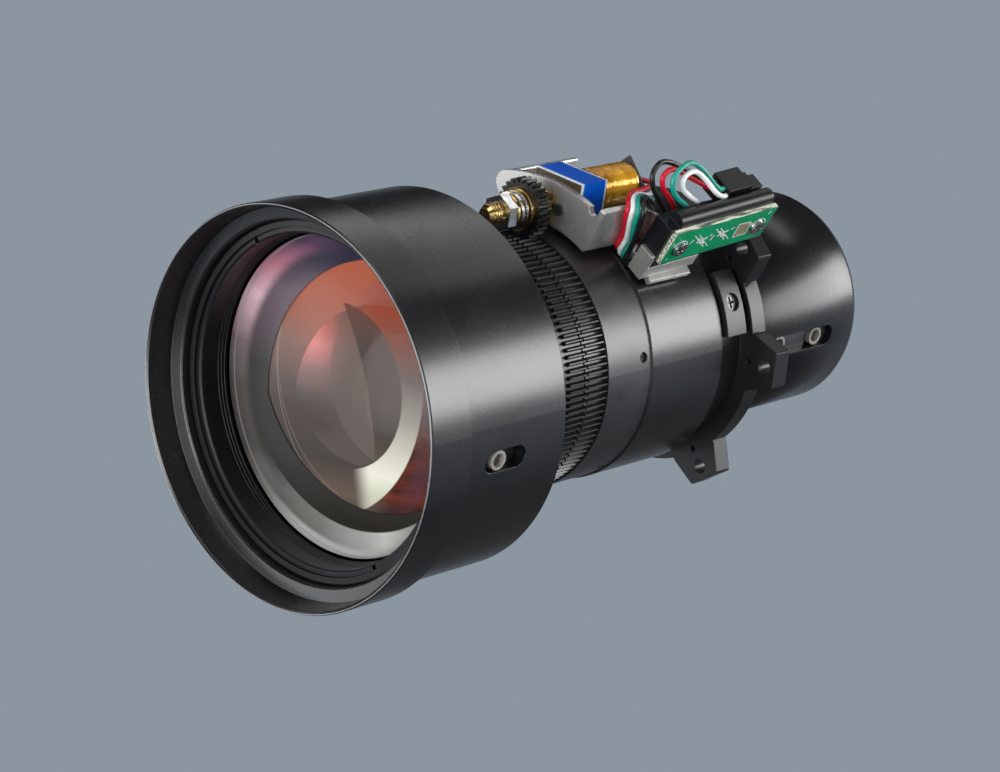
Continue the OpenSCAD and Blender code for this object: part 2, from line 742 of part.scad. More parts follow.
module focus_ring_gear() color([0.12, 0.12, 0.12]) lens_axis() difference() {
    union() {
        translate([0, 0, y_focus]) cylinder(r = focus_sleeve_r, h = y_focus_rear - y_focus);
        at_clock(drive_clock) translate([0, 0, y_focus_gear]) linear_extrude(focus_gear_w)
            gear_outline(ring_teeth);
    }
    translate([0, 0, y_focus - cut])
        cylinder(r = guide_r + run_fit, h = y_focus_rear - y_focus + 2 * cut);
    for (third = thirds) at_clock(slot_clock + third)
        helical_groove(guide_bore_r, groove_r, groove_half_w, y_focus_pin, focus_lead,
            -focus_turn_back - groove_end, focus_turn_on + groove_end, groove_steps);
}

// Fixed tube that guides the lens groups and carries both rings

module guide_tube() color([0.3, 0.3, 0.3]) lens_axis() difference() {
    tube(guide_r, guide_bore_r, y_guide, y_guide_rear);
    for (third = thirds) at_clock(slot_clock + third)
        radial_slot(groove_half_w, guide_bore_r - cut, guide_r + cut,
            y_focus_pin - focus_forward - groove_half_w - pin_fit,
                y_focus_pin + focus_back + groove_half_w + pin_fit);
    for (side = [0, 1])
        arch(guide_r + cut, guide_bore_r - cut, y_drive_pin - groove_half_w - roller_fit,
            y_drive_pin + groove_half_w + roller_fit,
                drive_pin_clocks[2 * side] - zoom_turn_back - window_clear,
            drive_pin_clocks[2 * side + 1] + zoom_turn_on + window_clear);
}

module ring_spacer() color([0.1, 0.1, 0.1]) lens_axis()
    tube(spacer_r, guide_fit_r, y_spacer, y_spacer + spacer_t);

// Zoom ring, the pins that join it to the cam barrel, and the cam barrel

module zoom_ring_gear() color([0.14, 0.14, 0.14]) lens_axis() difference() {
    union() {
        at_clock(drive_clock) translate([0, 0, y_zoom]) linear_extrude(zoom_gear_w)
            gear_outline(ring_teeth);
        translate([0, 0, y_zoom_gear_rear]) cylinder(r = zoom_sleeve_r, h = zoom_sleeve_len);
    }
    translate([0, 0, y_zoom - cut]) cylinder(r = guide_r + run_fit, h = y_zoom_rear - y_zoom + 2 * cut);
    for (clock = drive_pin_clocks) at_clock(clock)
        radial_pin(pin_r + seat_gap, guide_bore_r, main_r, y_drive_pin);
}

module zoom_drive_pins() color([0.08, 0.08, 0.08]) lens_axis() for (clock = drive_pin_clocks)
    at_clock(clock)
    difference() {
        radial_pin(pin_r, cam_bore_r + pin_end_gap, zoom_sleeve_r - drive_pin_sink, y_drive_pin);
        radial_cross(zoom_sleeve_r - drive_pin_sink, pin_r, y_drive_pin);
    }

module zoom_cam_barrel() color([0.32, 0.32, 0.32]) lens_axis() difference() {
    tube(cam_r, cam_bore_r, y_cam, y_cam_rear);
    for (clock = drive_pin_clocks) at_clock(clock)
        radial_pin(pin_r + seat_gap, cam_bore_r - cut, cam_r + cut, y_drive_pin);
    for (third = thirds) at_clock(slot_clock + third) {
        helical_groove(cam_bore_r - cut, cam_r + cut, cam_slot_half_w, zoom_roller_a, zoom_lead_a,
            -zoom_turn_back - cam_end, zoom_turn_on + cam_end, cam_slot_steps);
        helical_groove(cam_bore_r - cut, cam_r + cut, cam_slot_half_w, zoom_roller_b, zoom_lead_b,
            -zoom_turn_back - cam_end, zoom_turn_on + cam_end, cam_slot_steps);
    }
}

// Two zoom groups, each a cell with its lens, rollers and screws

module zoom_cell(y) difference() {
    tube(zoom_cell_r, zoom_bore_r, y - zoom_cell_len / 2, y + zoom_cell_len / 2);
    for (third = thirds) at_clock(slot_clock + third) {
        radial_pin(roller_r + seat_gap, zoom_cell_r - zoom_recess, zoom_cell_r + cut, y);
        radial_pin(roller_screw_r + seat_gap, zoom_cell_r - roller_screw_depth, zoom_cell_r, y);
    }
}

module zoom_lip_ring(y) tube(zoom_cell_r, zoom_bore_r - zoom_lip, y, y + zoom_lip_t);

module zoom_lens(y) {
    translate([0, 0, y]) cylinder(r = zoom_lens_r, h = zoom_lens_t);
    intersection() {
        translate([0, 0, y - zoom_bulge]) cylinder(r = zoom_lens_r, h = zoom_bulge);
        translate([0, 0, y + zoom_face_r - zoom_bulge]) sphere(r = zoom_face_r);
    }
}

module zoom_front_cell() color([0.2, 0.2, 0.2]) lens_axis() union() {
    zoom_cell(zoom_roller_a);
    zoom_lip_ring(zoom_roller_a + zoom_cell_len / 2 - zoom_lip_t);
}

module zoom_front_lens() color([0.6, 0.7, 0.75, 0.5]) lens_axis()
    zoom_lens(zoom_roller_a + zoom_cell_len / 2 - zoom_lip_t - zoom_lens_t);

module zoom_front_rollers() color([0.78, 0.72, 0.6]) lens_axis() for (third = thirds)
    at_clock(slot_clock + third)
    roller(zoom_cell_r - zoom_recess, zoom_roller_top, zoom_roller_a);

module zoom_front_screws() color([0.2, 0.2, 0.2]) lens_axis() for (third = thirds)
    at_clock(slot_clock + third)
    roller_screw(zoom_cell_r - roller_screw_depth, zoom_roller_top, zoom_roller_a);

module zoom_rear_cell() color([0.2, 0.2, 0.2]) lens_axis() union() {
    zoom_cell(zoom_roller_b);
    zoom_lip_ring(zoom_roller_b + zoom_cell_len / 2 - zoom_lip_t);
}

module zoom_rear_lens() color([0.6, 0.7, 0.75, 0.5]) lens_axis()
    zoom_lens(zoom_roller_b + zoom_cell_len / 2 - zoom_lip_t - zoom_lens_t);

module zoom_rear_rollers() color([0.78, 0.72, 0.6]) lens_axis() for (third = thirds)
    at_clock(slot_clock + third)
    roller(zoom_cell_r - zoom_recess, zoom_roller_top, zoom_roller_b);

module zoom_rear_screws() color([0.2, 0.2, 0.2]) lens_axis() for (third = thirds)
    at_clock(slot_clock + third)
    roller_screw(zoom_cell_r - roller_screw_depth, zoom_roller_top, zoom_roller_b);

// Barrels and mounting flange

module main_barrel() color([0.1, 0.1, 0.11]) lens_axis() difference() {
    translate([0, 0, y_main]) rotate_extrude($fn = 160) polygon([
        [guide_fit_r, 0], [main_r - edge_break, 0], [main_r, edge_break], [main_r, main_len - edge_break],
        [main_r - edge_break, main_len], [guide_fit_r, main_len]
    ]);
    for (clock = bracket_screw_clocks) at_clock(clock)
        radial_pin(bracket_screw_r + seat_gap, main_r - bracket_screw_depth, main_r + cut,
            y_plate + bracket_screw_place);
}

module mount_flange() color([0.11, 0.11, 0.12]) lens_axis() difference() {
    union() {
        translate([0, 0, y_collar]) cylinder(r = collar_r, h = collar_len);
        translate([0, 0, y_flange]) cylinder(r = flange_r, h = flange_t);
        for (side = [1, -1], clock = ear_clocks) at_clock(side * clock) translate([0, 0, y_flange])
            linear_extrude(flange_t) polygon([
                [ear_root_r, -ear_root_half_w],
                [flange_r, -ear_root_half_w],
                [ear_tip_r - edge_break, -ear_tip_half_w],
                [ear_tip_r, edge_break - ear_tip_half_w],
                [ear_tip_r, ear_tip_half_w - edge_break],
                [ear_tip_r - edge_break, ear_tip_half_w],
                [flange_r, ear_root_half_w],
                [ear_root_r, ear_root_half_w]
            ]);
    }
    translate([0, 0, y_collar - cut]) cylinder(r = guide_fit_r, h = y_guide_rear - y_collar + cut);
    translate([0, 0, y_guide_rear - cut])
        cylinder(r = rear_r - rear_relief + seat_gap, h = cut - y_guide_rear + cut);
    translate([0, 0, -pad_h]) cylinder(r = rear_r + pad_h + seat_gap, h = pad_h + cut);
    for (side = [1, -1], clock = ear_clocks) at_clock(side * clock) {
        translate([ear_pitch_r, 0, y_flange - cut]) cylinder(r = ear_hole_r, h = flange_t + 2 * cut);
        translate([ear_dimple_pitch_r, 0, y_flange])
            cylinder(r = ear_dimple_r, h = 2 * ear_dimple_depth, center = true);
    }
    at_clock(block_clock) radial_pin(clamp_thread_r + seat_gap, collar_r - clamp_reach, collar_r + cut,
        y_clamp_screw);
}

module clamp_block() color([0.16, 0.16, 0.16]) lens_axis() difference() {
    arch(collar_r + block_h, collar_r + seat_gap, y_collar + block_front,
        y_collar + block_front + block_len,
        block_clock - block_half_angle, block_clock + block_half_angle);
    at_clock(block_clock) {
        radial_pin(clamp_thread_r + seat_gap, collar_r - cut, collar_r + block_h, y_clamp_screw);
        radial_pin(clamp_head_r + seat_gap, clamp_head_seat, collar_r + block_h + cut, y_clamp_screw);
    }
}

module clamp_screw() color([0.3, 0.3, 0.32]) lens_axis() at_clock(block_clock) {
    radial_pin(clamp_thread_r, collar_r - clamp_reach, clamp_head_seat, y_clamp_screw);
    difference() {
        radial_pin(clamp_head_r, clamp_head_seat, clamp_head_seat + clamp_head_t, y_clamp_screw);
        radial_cross(clamp_head_seat + clamp_head_t, clamp_head_r, y_clamp_screw);
    }
}

module rear_barrel() color([0.08, 0.08, 0.09]) lens_axis() difference() {
    union() {
        translate([0, 0, y_guide_rear]) rotate_extrude($fn = 160) polygon([
            [guide_bore_r, 0], [rear_r - rear_relief, 0],
                [rear_r - rear_relief, pad_len + edge_break - y_guide_rear],
            [rear_r, pad_len + 2 * edge_break - y_guide_rear],
            [rear_r, rear_len - y_guide_rear - rear_chamfer],
            [rear_r - rear_chamfer / 2, rear_len - y_guide_rear], [guide_bore_r, rear_len - y_guide_rear],
            [guide_bore_r, rear_stop - y_guide_rear],
                [rear_ring_clear_r + rear_lip, rear_stop - y_guide_rear],
            [rear_ring_clear_r + rear_lip, rear_stop - rear_stop_t - y_guide_rear],
            [guide_bore_r, rear_stop - rear_stop_t - y_guide_rear]
        ]);
        arch(rear_r + pad_h, rear_r - pad_h, 0, pad_len, pad_clock - pad_half_angle,
            pad_clock + pad_half_angle);
    }
    for (third = thirds) at_clock(slot_clock + third)
        radial_slot(roller_slot_half_w, guide_bore_r - cut, rear_r - rear_skin, zoom_slot_front,
            zoom_slot_back);
}

module rear_lens() color([0.6, 0.65, 0.72, 0.5]) lens_axis() intersection() {
    translate([0, 0, rear_stop]) cylinder(r = rear_lens_r, h = rear_lens_t);
    translate([0, 0, rear_stop + rear_lens_t - rear_face_r]) sphere(r = rear_face_r, $fn = 160);
}

module rear_retaining_ring() color([0.06, 0.06, 0.06]) lens_axis()
    tube(guide_bore_r - seat_gap, rear_ring_clear_r, rear_len - rear_ring_t, rear_len);

// Drive shaft, pinion and slip clutch

module drive_shaft() color([0.75, 0.6, 0.3]) drive_frame() {
    translate([0, 0, y_shaft]) cylinder(r1 = tip_r, r2 = shaft_r, h = tip_len);
    translate([0, 0, y_shaft + tip_len]) cylinder(r = shaft_r, h = y_gearbox - y_shaft - tip_len);
    translate([0, 0, y_gearbox - shaft_tail]) cylinder(r = journal_r, h = 2 * shaft_tail);
}

module drive_pinion() color([0.15, 0.15, 0.15]) drive_frame() translate([0, 0, y_pinion]) difference() {
    rotate([0, 0, 180 / pinion_teeth]) linear_extrude(pinion_t) gear_outline(pinion_teeth);
    translate([0, 0, -cut]) cylinder(r = shaft_r + seat_gap, h = pinion_t + 2 * cut);
}

module friction_washers() color([0.72, 0.58, 0.32]) drive_frame() {
    tube(friction_r, shaft_r + seat_gap, y_pinion - friction_t, y_pinion);
    tube(thrust_r, shaft_r + seat_gap, y_springs - thrust_t, y_springs);
}

module spring_washers() color([0.8, 0.8, 0.82]) drive_frame() for (k = [0:spring_count - 1])
    translate([0, 0, y_springs + (k + 0.5) * spring_t]) mirror([0, 0, k % 2])
        translate([0, 0, -spring_t / 2])
        rotate_extrude() polygon([
            [shaft_r + seat_gap, seat_gap], [spring_r, spring_t / 2], [spring_r, spring_t - seat_gap],
            [shaft_r + seat_gap, spring_t / 2]
        ]);

module clutch_nut() color([0.82, 0.82, 0.84]) drive_frame() translate([0, 0, y_nut]) difference() {
    cylinder(d = nut_flats / cos(30), h = nut_t, $fn = 6);
    translate([0, 0, -cut]) cylinder(r = shaft_r + seat_gap, h = nut_t + 2 * cut);
}

module bearing_bush() color([0.75, 0.6, 0.3]) drive_frame() difference() {
    union() {
        translate([0, 0, y_pinion + pinion_t + bush_gap])
            cylinder(r = bush_r, h = bush_len - bush_gap + plate_t);
        translate([-bush_flange_half, -bush_flange_half, y_plate - bush_flange_t])
            cube([2 * bush_flange_half, 2 * bush_flange_half, bush_flange_t]);
    }
    translate([0, 0, y_pinion]) cylinder(r = shaft_r + run_fit, h = y_gearbox - y_pinion + cut);
}

// Motor bracket, one casting arched round the barrel

module motor_bracket() color([0.78, 0.78, 0.78]) lens_axis() difference() {
    union() {
        arch(plate_r, saddle_mid_r, y_plate, y_gearbox, plate_clock_a + plate_round_angle,
            plate_clock_b + wall_mid_angle);
        arch(plate_r - plate_round, saddle_mid_r, y_plate, y_gearbox, plate_clock_a,
            plate_clock_a + 2 * plate_round_angle);
        at_clock(plate_clock_a + plate_round_angle) translate([plate_r - plate_round, 0, y_plate])
            cylinder(r = plate_round, h = plate_t);
        bracket_sleeve();
        for (clock = bracket_screw_clocks)
            arch(saddle_r + seat_gap, foot_r, y_plate + foot_front, y_plate + foot_rear,
                clock - foot_half_angle, clock + foot_half_angle);
        at_clock(plate_clock_b) translate([0, side_wall_t, y_plate]) rotate([90, 0, 0])
            linear_extrude(side_wall_t) polygon([
                [saddle_mid_r, 0],
                [plate_r + side_wall_rise - edge_break, 0],
                [plate_r + side_wall_rise, edge_break],
                [plate_r + side_wall_rise, side_wall_len - wall_chop_len],
                [plate_r + side_wall_rise - wall_chop_drop, side_wall_len],
                [saddle_mid_r, side_wall_len]
            ]);
        at_clock(drive_clock) translate([drive_r - left_wall_drop, left_wall_side, y_plate])
            cube([left_wall_h, left_wall_t, bracket_len]);
        at_clock(board_clock) translate([board_low, 0, y_board]) rotate([0, board_tilt, 0]) {
            translate([-pedestal_h, board_across - board_t - pedestal_w, -lip_t - lip_gap])
                cube([pedestal_h - holder_drop, pedestal_w, pedestal_len + lip_t + lip_gap]);
            translate([-pedestal_h, board_across - board_t - pedestal_w, -holder_front - lip_t - lip_gap])
                cube([pedestal_h + lip_rise, pedestal_w, lip_t]);
        }
    }
    drive_hole(shaft_hole_r);
    at_clock(drive_clock) translate([drive_r + gearbox_screw_up, gearbox_screw_across, y_plate - cut])
        cylinder(r = gearbox_screw_r + seat_gap, h = plate_t + 2 * cut);
    at_clock(plate_clock_b) translate([plate_r, -notch_r, y_plate - cut])
        cylinder(r = notch_r, h = plate_t + 2 * cut);
    for (clock = bracket_screw_clocks) at_clock(clock)
        radial_pin(bracket_screw_r + seat_gap, foot_r - cut, saddle_r + saddle_t + cut,
            y_plate + bracket_screw_place);
}

module drive_hole(r) at_clock(drive_clock) translate([drive_r, 0, y_plate - cut])
    cylinder(r = r, h = plate_t + 2 * cut);

module bracket_sleeve() difference() {
    arch(saddle_r + saddle_t, saddle_r, y_plate, y_bracket_rear + arm_over, plate_clock_a, arm_clock);
    arch(saddle_r + saddle_t + cut, saddle_r - cut, y_plate - cut, y_plate + arm_front,
        plate_clock_b + wall_cut_angle, arm_clock + wall_angle);
    arch(saddle_r + saddle_t + cut, saddle_r - cut, y_bracket_rear, y_bracket_rear + arm_over + cut,
        plate_clock_a - wall_angle, plate_clock_b);
    arch(saddle_r + saddle_t + cut, saddle_r - cut, y_plate + lead_slot_front,
        y_bracket_rear + arm_over + cut,
        plate_clock_b + wall_cut_angle, lead_slot_clock);
}

module bracket_screws() color([0.7, 0.7, 0.72]) lens_axis() for (clock = bracket_screw_clocks)
    at_clock(clock) {
    radial_pin(bracket_screw_r, main_r - bracket_screw_depth, saddle_r + saddle_t,
        y_plate + bracket_screw_place);
    difference() {
        radial_pin(bracket_head_r, saddle_r + saddle_t, saddle_r + saddle_t + bracket_head_t,
            y_plate + bracket_screw_place);
        radial_cross(saddle_r + saddle_t + bracket_head_t, bracket_head_r, y_plate + bracket_screw_place);
    }
}

// Gearbox and motor

module gearbox() color([0.45, 0.3, 0.16]) drive_frame() difference() {
    translate([gearbox_low, gearbox_side, y_gearbox]) cube([gearbox_h, gearbox_w, gearbox_len]);
    translate([0, 0, y_gearbox - cut])
        cylinder(r = journal_r + roller_fit, h = shaft_tail + roller_fit + cut);
    translate([gearbox_screw_up, gearbox_screw_across, y_gearbox - cut])
        cylinder(r = gearbox_screw_r + seat_gap, h = gearbox_screw_depth + cut);
}

module gearbox_screw() color([0.15, 0.15, 0.15]) drive_frame()
    translate([gearbox_screw_up, gearbox_screw_across, 0]) {
    translate([0, 0, y_plate]) cylinder(r = gearbox_screw_r, h = plate_t + gearbox_screw_depth);
    difference() {
        translate([0, 0, y_plate - gearbox_head_t]) cylinder(r = gearbox_head_r, h = gearbox_head_t);
        translate([0, 0, y_plate - gearbox_head_t])
            cylinder(r = gearbox_head_r * socket_share, h = gearbox_head_t, $fn = 6);
    }
}

module gearbox_tape() color([0.05, 0.35, 0.85]) drive_frame() difference() {
    translate([gearbox_low - wrap_t, gearbox_side - wrap_t, y_gearbox + tape_margin])
        cube([gearbox_h + 2 * wrap_t, gearbox_w + 2 * wrap_t, gearbox_len - 2 * tape_margin]);
    translate([gearbox_low, gearbox_side, y_gearbox]) cube([gearbox_h, gearbox_w, gearbox_len]);
}

module motor_body() color([0.72, 0.72, 0.72]) drive_frame() translate([motor_up, motor_across, y_motor])
    cylinder(r = motor_r, h = motor_len);

module motor_tape() color([0.8, 0.55, 0.1]) drive_frame() translate([motor_up, motor_across, 0])
    tube(motor_r + wrap_t, motor_r, y_motor + tape_margin, y_end_plate - tape_margin);

module motor_end_plate() color([0.2, 0.2, 0.2]) drive_frame()
    translate([motor_up, motor_across, y_end_plate])
    rotate([0, 0, 45]) translate([-end_plate_side / 2, -end_plate_side / 2, 0])
        cube([end_plate_side, end_plate_side, end_plate_t]);

// Connector holder, block and circuit board

module connector_holder() color([0.06, 0.06, 0.06]) board_frame() difference() {
    union() {
        translate([-holder_drop, board_across - board_t - holder_t, -holder_front])
            cube([board_w + holder_drop, holder_t, board_len - holder_rear + holder_front]);
        translate([board_w + bar_lift, board_across - board_t - bar_r, bar_front])
            cylinder(r = bar_r, h = board_len - holder_rear - bar_front);
        translate([board_w - shelf_t, board_across - board_t - holder_t - shelf_depth,
            block_start - shelf_lead])
            cube([shelf_t, shelf_depth + bar_r, board_len - holder_rear - block_start + shelf_lead]);
    }
    board_screw_places() cylinder(r = board_screw_r + seat_gap, h = 2 * board_screw_depth, center = true);
}

module board_screw_places() for (z = [board_screw_in, board_len - board_screw_in])
    translate([board_screw_up, board_across - board_t, z]) rotate([90, 0, 0]) children();

module connector_block() color([0.07, 0.07, 0.07]) board_frame() difference() {
    union() {
        translate([board_w, block_back, block_start]) cube([connector_h, connector_w, connector_len]);
        translate([board_w, latch_side, block_start + connector_len])
            cube([latch_h, latch_w, board_len - holder_rear - block_start - connector_len]);
    }
    translate([board_w + connector_h - socket_h, block_back + socket_wall,
        block_start + connector_len - socket_depth])
        cube([socket_h - socket_wall, connector_w - 2 * socket_wall, socket_depth + cut]);
}

module circuit_board() color([0.1, 0.6, 0.35]) board_frame() difference() {
    translate([0, board_across - board_t, 0]) cube([board_w, board_t, board_len]);
    translate([0, board_t, 0]) board_screw_places()
        cylinder(r = board_screw_r + seat_gap, h = 4 * board_t, center = true);
}

module board_screws() color([0.75, 0.75, 0.77]) board_frame() translate([0, board_t, 0])
    board_screw_places() {
    translate([0, 0, 0]) cylinder(r = board_screw_r, h = board_t + board_screw_depth - seat_gap);
    translate([0, 0, -board_head_t]) difference() {
        cylinder(r = board_head_r, h = board_head_t);
        for (turn = [0, 90]) rotate([0, 0, turn])
            cube([board_head_r * cross_len_share, board_head_r * cross_width_share,
                board_head_r * cross_depth_share],
                center = true);
    }
}

// Leads

function lead_rail(dirs, i, side) = i == len(dirs) ? [] :
    let (q = side - (side * dirs[i]) * dirs[i], flat = q / norm(q))
        concat([flat], lead_rail(dirs, i + 1, flat));

module lead(route) {
    last = len(route) - 1;
    dirs = [
        for (i = [0:last])
            let (back = i == 0 ? route[1] - route[0] : route[i] - route[i - 1],
                on = i == last ? back : route[i + 1] - route[i], mean = back / norm(back) + on / norm(on))
                mean / norm(mean)
    ];
    rail = lead_rail(dirs, 0, [0, 1, 0]);
    rings = [
        for (i = [0:last], k = [0:lead_sides - 1])
            route[i] + lead_r * (cos(360 * k / lead_sides) * rail[i] + sin(360 * k / lead_sides)
                * cross(dirs[i], rail[i]))
    ];
    sides = [
        for (i = [0:last - 1], k = [0:lead_sides - 1])
            let (a = i * lead_sides + k, b = i * lead_sides + (k + 1) % lead_sides)
                each [[a, b + lead_sides, b], [a, a + lead_sides, b + lead_sides]]
    ];
    ends = [[for (k = [0:lead_sides - 1]) k], [for (k = [lead_sides - 1:-1:0]) last * lead_sides + k]];
    lens_axis() at_clock(board_clock) translate([0, 0, y_plate]) polyhedron(rings, concat(sides, ends));
}

module red_lead() color([0.85, 0.05, 0.1]) lead(red_route);

module black_lead() color([0.05, 0.05, 0.05]) lead(black_route);

module green_lead() color([0.1, 0.6, 0.55]) lead(green_route);

module white_lead() color([0.92, 0.92, 0.92]) lead(white_route);

front_hood();
front_cell();
front_retaining_ring();
front_lens();
second_lens();
third_lens();
focus_rollers();
focus_roller_screws();
focus_pins();
focus_ring_gear();
ring_spacer();
guide_tube();
zoom_ring_gear();
zoom_drive_pins();
zoom_cam_barrel();
zoom_front_cell();
zoom_front_lens();
zoom_front_rollers();
zoom_front_screws();
zoom_rear_cell();
zoom_rear_lens();
zoom_rear_rollers();
zoom_rear_screws();
main_barrel();
mount_flange();
clamp_block();
clamp_screw();
rear_barrel();
rear_lens();
rear_retaining_ring();
drive_shaft();
drive_pinion();
friction_washers();
spring_washers();
clutch_nut();
bearing_bush();
motor_bracket();
bracket_screws();
gearbox();
gearbox_screw();
gearbox_tape();
motor_body();
motor_tape();
motor_end_plate();
connector_holder();
connector_block();
circuit_board();
board_screws();
red_lead();
black_lead();
green_lead();
white_lead();
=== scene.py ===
import math

import bmesh
import bpy
from mathutils import Matrix, Vector


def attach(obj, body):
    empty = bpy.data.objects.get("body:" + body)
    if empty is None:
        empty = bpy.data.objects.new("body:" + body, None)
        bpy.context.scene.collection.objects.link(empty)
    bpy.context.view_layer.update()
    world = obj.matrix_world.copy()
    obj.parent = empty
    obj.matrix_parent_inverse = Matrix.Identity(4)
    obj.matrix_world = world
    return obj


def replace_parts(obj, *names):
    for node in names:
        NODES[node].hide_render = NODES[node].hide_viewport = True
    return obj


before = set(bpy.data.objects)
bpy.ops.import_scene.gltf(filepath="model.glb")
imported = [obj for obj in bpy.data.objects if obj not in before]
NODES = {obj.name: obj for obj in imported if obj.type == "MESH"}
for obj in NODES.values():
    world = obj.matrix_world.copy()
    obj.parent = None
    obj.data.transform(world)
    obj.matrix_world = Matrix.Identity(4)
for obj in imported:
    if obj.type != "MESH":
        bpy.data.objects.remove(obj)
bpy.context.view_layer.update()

BARREL = "barrel_unit"
FRONT = "front_group"
DRIVE = "drive"

# Lengths are in millimetres until MM turns them into metres. Y runs back along the optical axis.
MM = 0.001
RIM_Y = -159.7
BRACKET_Y = -63.15 * MM
TAPE_FRONT = BRACKET_Y + 2.6 * MM
TAPE_REAR = BRACKET_Y + 13.4 * MM


# Camera, fitted to the photograph's circles: the rim, the barrels and the flange

def make_camera():
    data = bpy.data.cameras.new("camera")
    data.lens = 117.4
    data.sensor_width = 36.0
    data.clip_start, data.clip_end = 0.05, 60.0
    cam = bpy.data.objects.new("camera", data)
    right = Vector((0.72743, 0.68618, 0.0))
    up = Vector((-0.16001, 0.16963, 0.97243))
    back = Vector((0.66726, -0.70738, 0.23319))
    turn = Matrix((right, up, back)).transposed().to_4x4()
    cam.matrix_world = Matrix.Translation((0.6431, -0.7538, 0.2165)) @ turn
    bpy.context.scene.collection.objects.link(cam)
    bpy.context.scene.camera = cam


make_camera()
bpy.context.scene.view_settings.view_transform = "Standard"


# Shader helpers

# Sockets of a Mix node that mixes colours
MIX_FACTOR, MIX_A, MIX_B, MIX_RESULT = 0, 6, 7, 2


class Shader:
    def __init__(self, name):
        self.mat = bpy.data.materials.new(name)
        self.mat.use_nodes = True
        self.tree = self.mat.node_tree
        self.tree.nodes.clear()
        self.out = self.add("ShaderNodeOutputMaterial")

    def add(self, kind, **values):
        node = self.tree.nodes.new(kind)
        for key, value in values.items():
            setattr(node, key, value)
        return node

    def put(self, socket, value):
        if isinstance(value, bpy.types.NodeSocket):
            self.tree.links.new(value, socket)
        elif value is not None:
            if socket.type == "RGBA" and len(value) == 3:
                value = (*value, 1.0)
            socket.default_value = value

    def math(self, operation, a, b=None, c=None, clamp=False):
        node = self.add("ShaderNodeMath", operation=operation, use_clamp=clamp)
        self.put(node.inputs[0], a)
        if b is not None:
            self.put(node.inputs[1], b)
        if c is not None:
            self.put(node.inputs[2], c)
        return node.outputs[0]

    def remap(self, value, lo, hi, to_lo=0.0, to_hi=1.0, smooth=False):
        node = self.add("ShaderNodeMapRange", interpolation_type="SMOOTHSTEP" if smooth else "LINEAR")
        self.put(node.inputs["Value"], value)
        for key, number in (("From Min", lo), ("From Max", hi), ("To Min", to_lo), ("To Max", to_hi)):
            node.inputs[key].default_value = number
        return node.outputs["Result"]

    def mix(self, fac, a, b):
        node = self.add("ShaderNodeMix", data_type="RGBA")
        self.put(node.inputs[MIX_FACTOR], fac)
        self.put(node.inputs[MIX_A], a)
        self.put(node.inputs[MIX_B], b)
        return node.outputs[MIX_RESULT]

    def coords(self):
        node = self.add("ShaderNodeTexCoord")
        return node.outputs["Object"]

    def axes(self):
        node = self.add("ShaderNodeSeparateXYZ")
        self.tree.links.new(self.coords(), node.inputs[0])
        return node.outputs

    def scaled(self, scale):
        node = self.add("ShaderNodeMapping")
        self.tree.links.new(self.coords(), node.inputs["Vector"])
        node.inputs["Scale"].default_value = scale
        return node.outputs["Vector"]

    def noise(self, scale, detail=3.0, rough=0.55, stretch=None, vector=None):
        node = self.add("ShaderNodeTexNoise")
        node.inputs["Scale"].default_value = scale
        node.inputs["Detail"].default_value = detail
        node.inputs["Roughness"].default_value = rough
        if vector is None:
            vector = self.scaled(stretch) if stretch else self.coords()
        self.tree.links.new(vector, node.inputs["Vector"])
        return node.outputs["Fac"]

    def ramp(self, value, stops):
        node = self.add("ShaderNodeValToRGB")
        ramp = node.color_ramp
        while len(ramp.elements) < len(stops):
            ramp.elements.new(0.5)
        for element, (place, colour) in zip(ramp.elements, stops):
            element.position = place
            element.color = (*colour, 1.0)
        self.put(node.inputs[0], value)
        return node.outputs["Color"]

    def normal(self, height, strength, distance, edge=0.0):
        """Bump from a height, over edges rounded by a radius in metres."""
        bump = self.add("ShaderNodeBump")
        bump.inputs["Strength"].default_value = strength
        bump.inputs["Distance"].default_value = distance
        self.put(bump.inputs["Height"], height)
        if edge:
            bevel = self.add("ShaderNodeBevel", samples=4)
            bevel.inputs["Radius"].default_value = edge
            self.put(bump.inputs["Normal"], bevel.outputs["Normal"])
        return bump.outputs["Normal"]

    def principled(self, colour, rough, normal=None, **plain):
        node = self.add("ShaderNodeBsdfPrincipled")
        self.put(node.inputs["Base Color"], colour)
        self.put(node.inputs["Roughness"], rough)
        if normal is not None:
            self.put(node.inputs["Normal"], normal)
        for key, value in plain.items():
            self.put(node.inputs[key.replace("_", " ")], value)
        return node.outputs["BSDF"]

    def end(self, shader):
        self.tree.links.new(shader, self.out.inputs["Surface"])
        return self.mat


def srgb(*values):
    out = []
    for v in values:
        v /= 255.0
        out.append(v / 12.92 if v <= 0.04045 else ((v + 0.055) / 1.055) ** 2.4)
    return tuple(out)


def toned(colour, factor):
    """A colour made darker or paler, held inside white."""
    return tuple(min(1.0, c * factor) for c in colour)


# Materials

def turned_black(name, colour, rough, edge=0.0003, ior=1.8):
    """Black anodised metal: fine turning lines round the axis, faint mottling, softened edges."""
    s = Shader(name)
    lines = s.noise(1.0, 2.0, 0.6, stretch=(30, 2600, 30))
    mottle = s.noise(60.0, 4.0, 0.6)
    spots = s.noise(420.0, 2.0, 0.5)
    tone = s.math("MULTIPLY_ADD", mottle, 0.5, s.math("MULTIPLY", lines, 0.35))
    dark = toned(colour, 0.75)
    light = toned(colour, 1.45)
    shade = s.mix(s.remap(tone, 0.2, 0.65), dark, light)
    gloss = s.math("ADD", s.remap(mottle, 0.3, 0.7, rough - 0.012, rough + 0.012),
                   s.remap(spots, 0.35, 0.7, -0.006, 0.008))
    normal = s.normal(s.math("MULTIPLY_ADD", spots, 0.12, lines), 0.10, 0.00006, edge)
    return s.end(s.principled(shade, gloss, normal, IOR=ior))


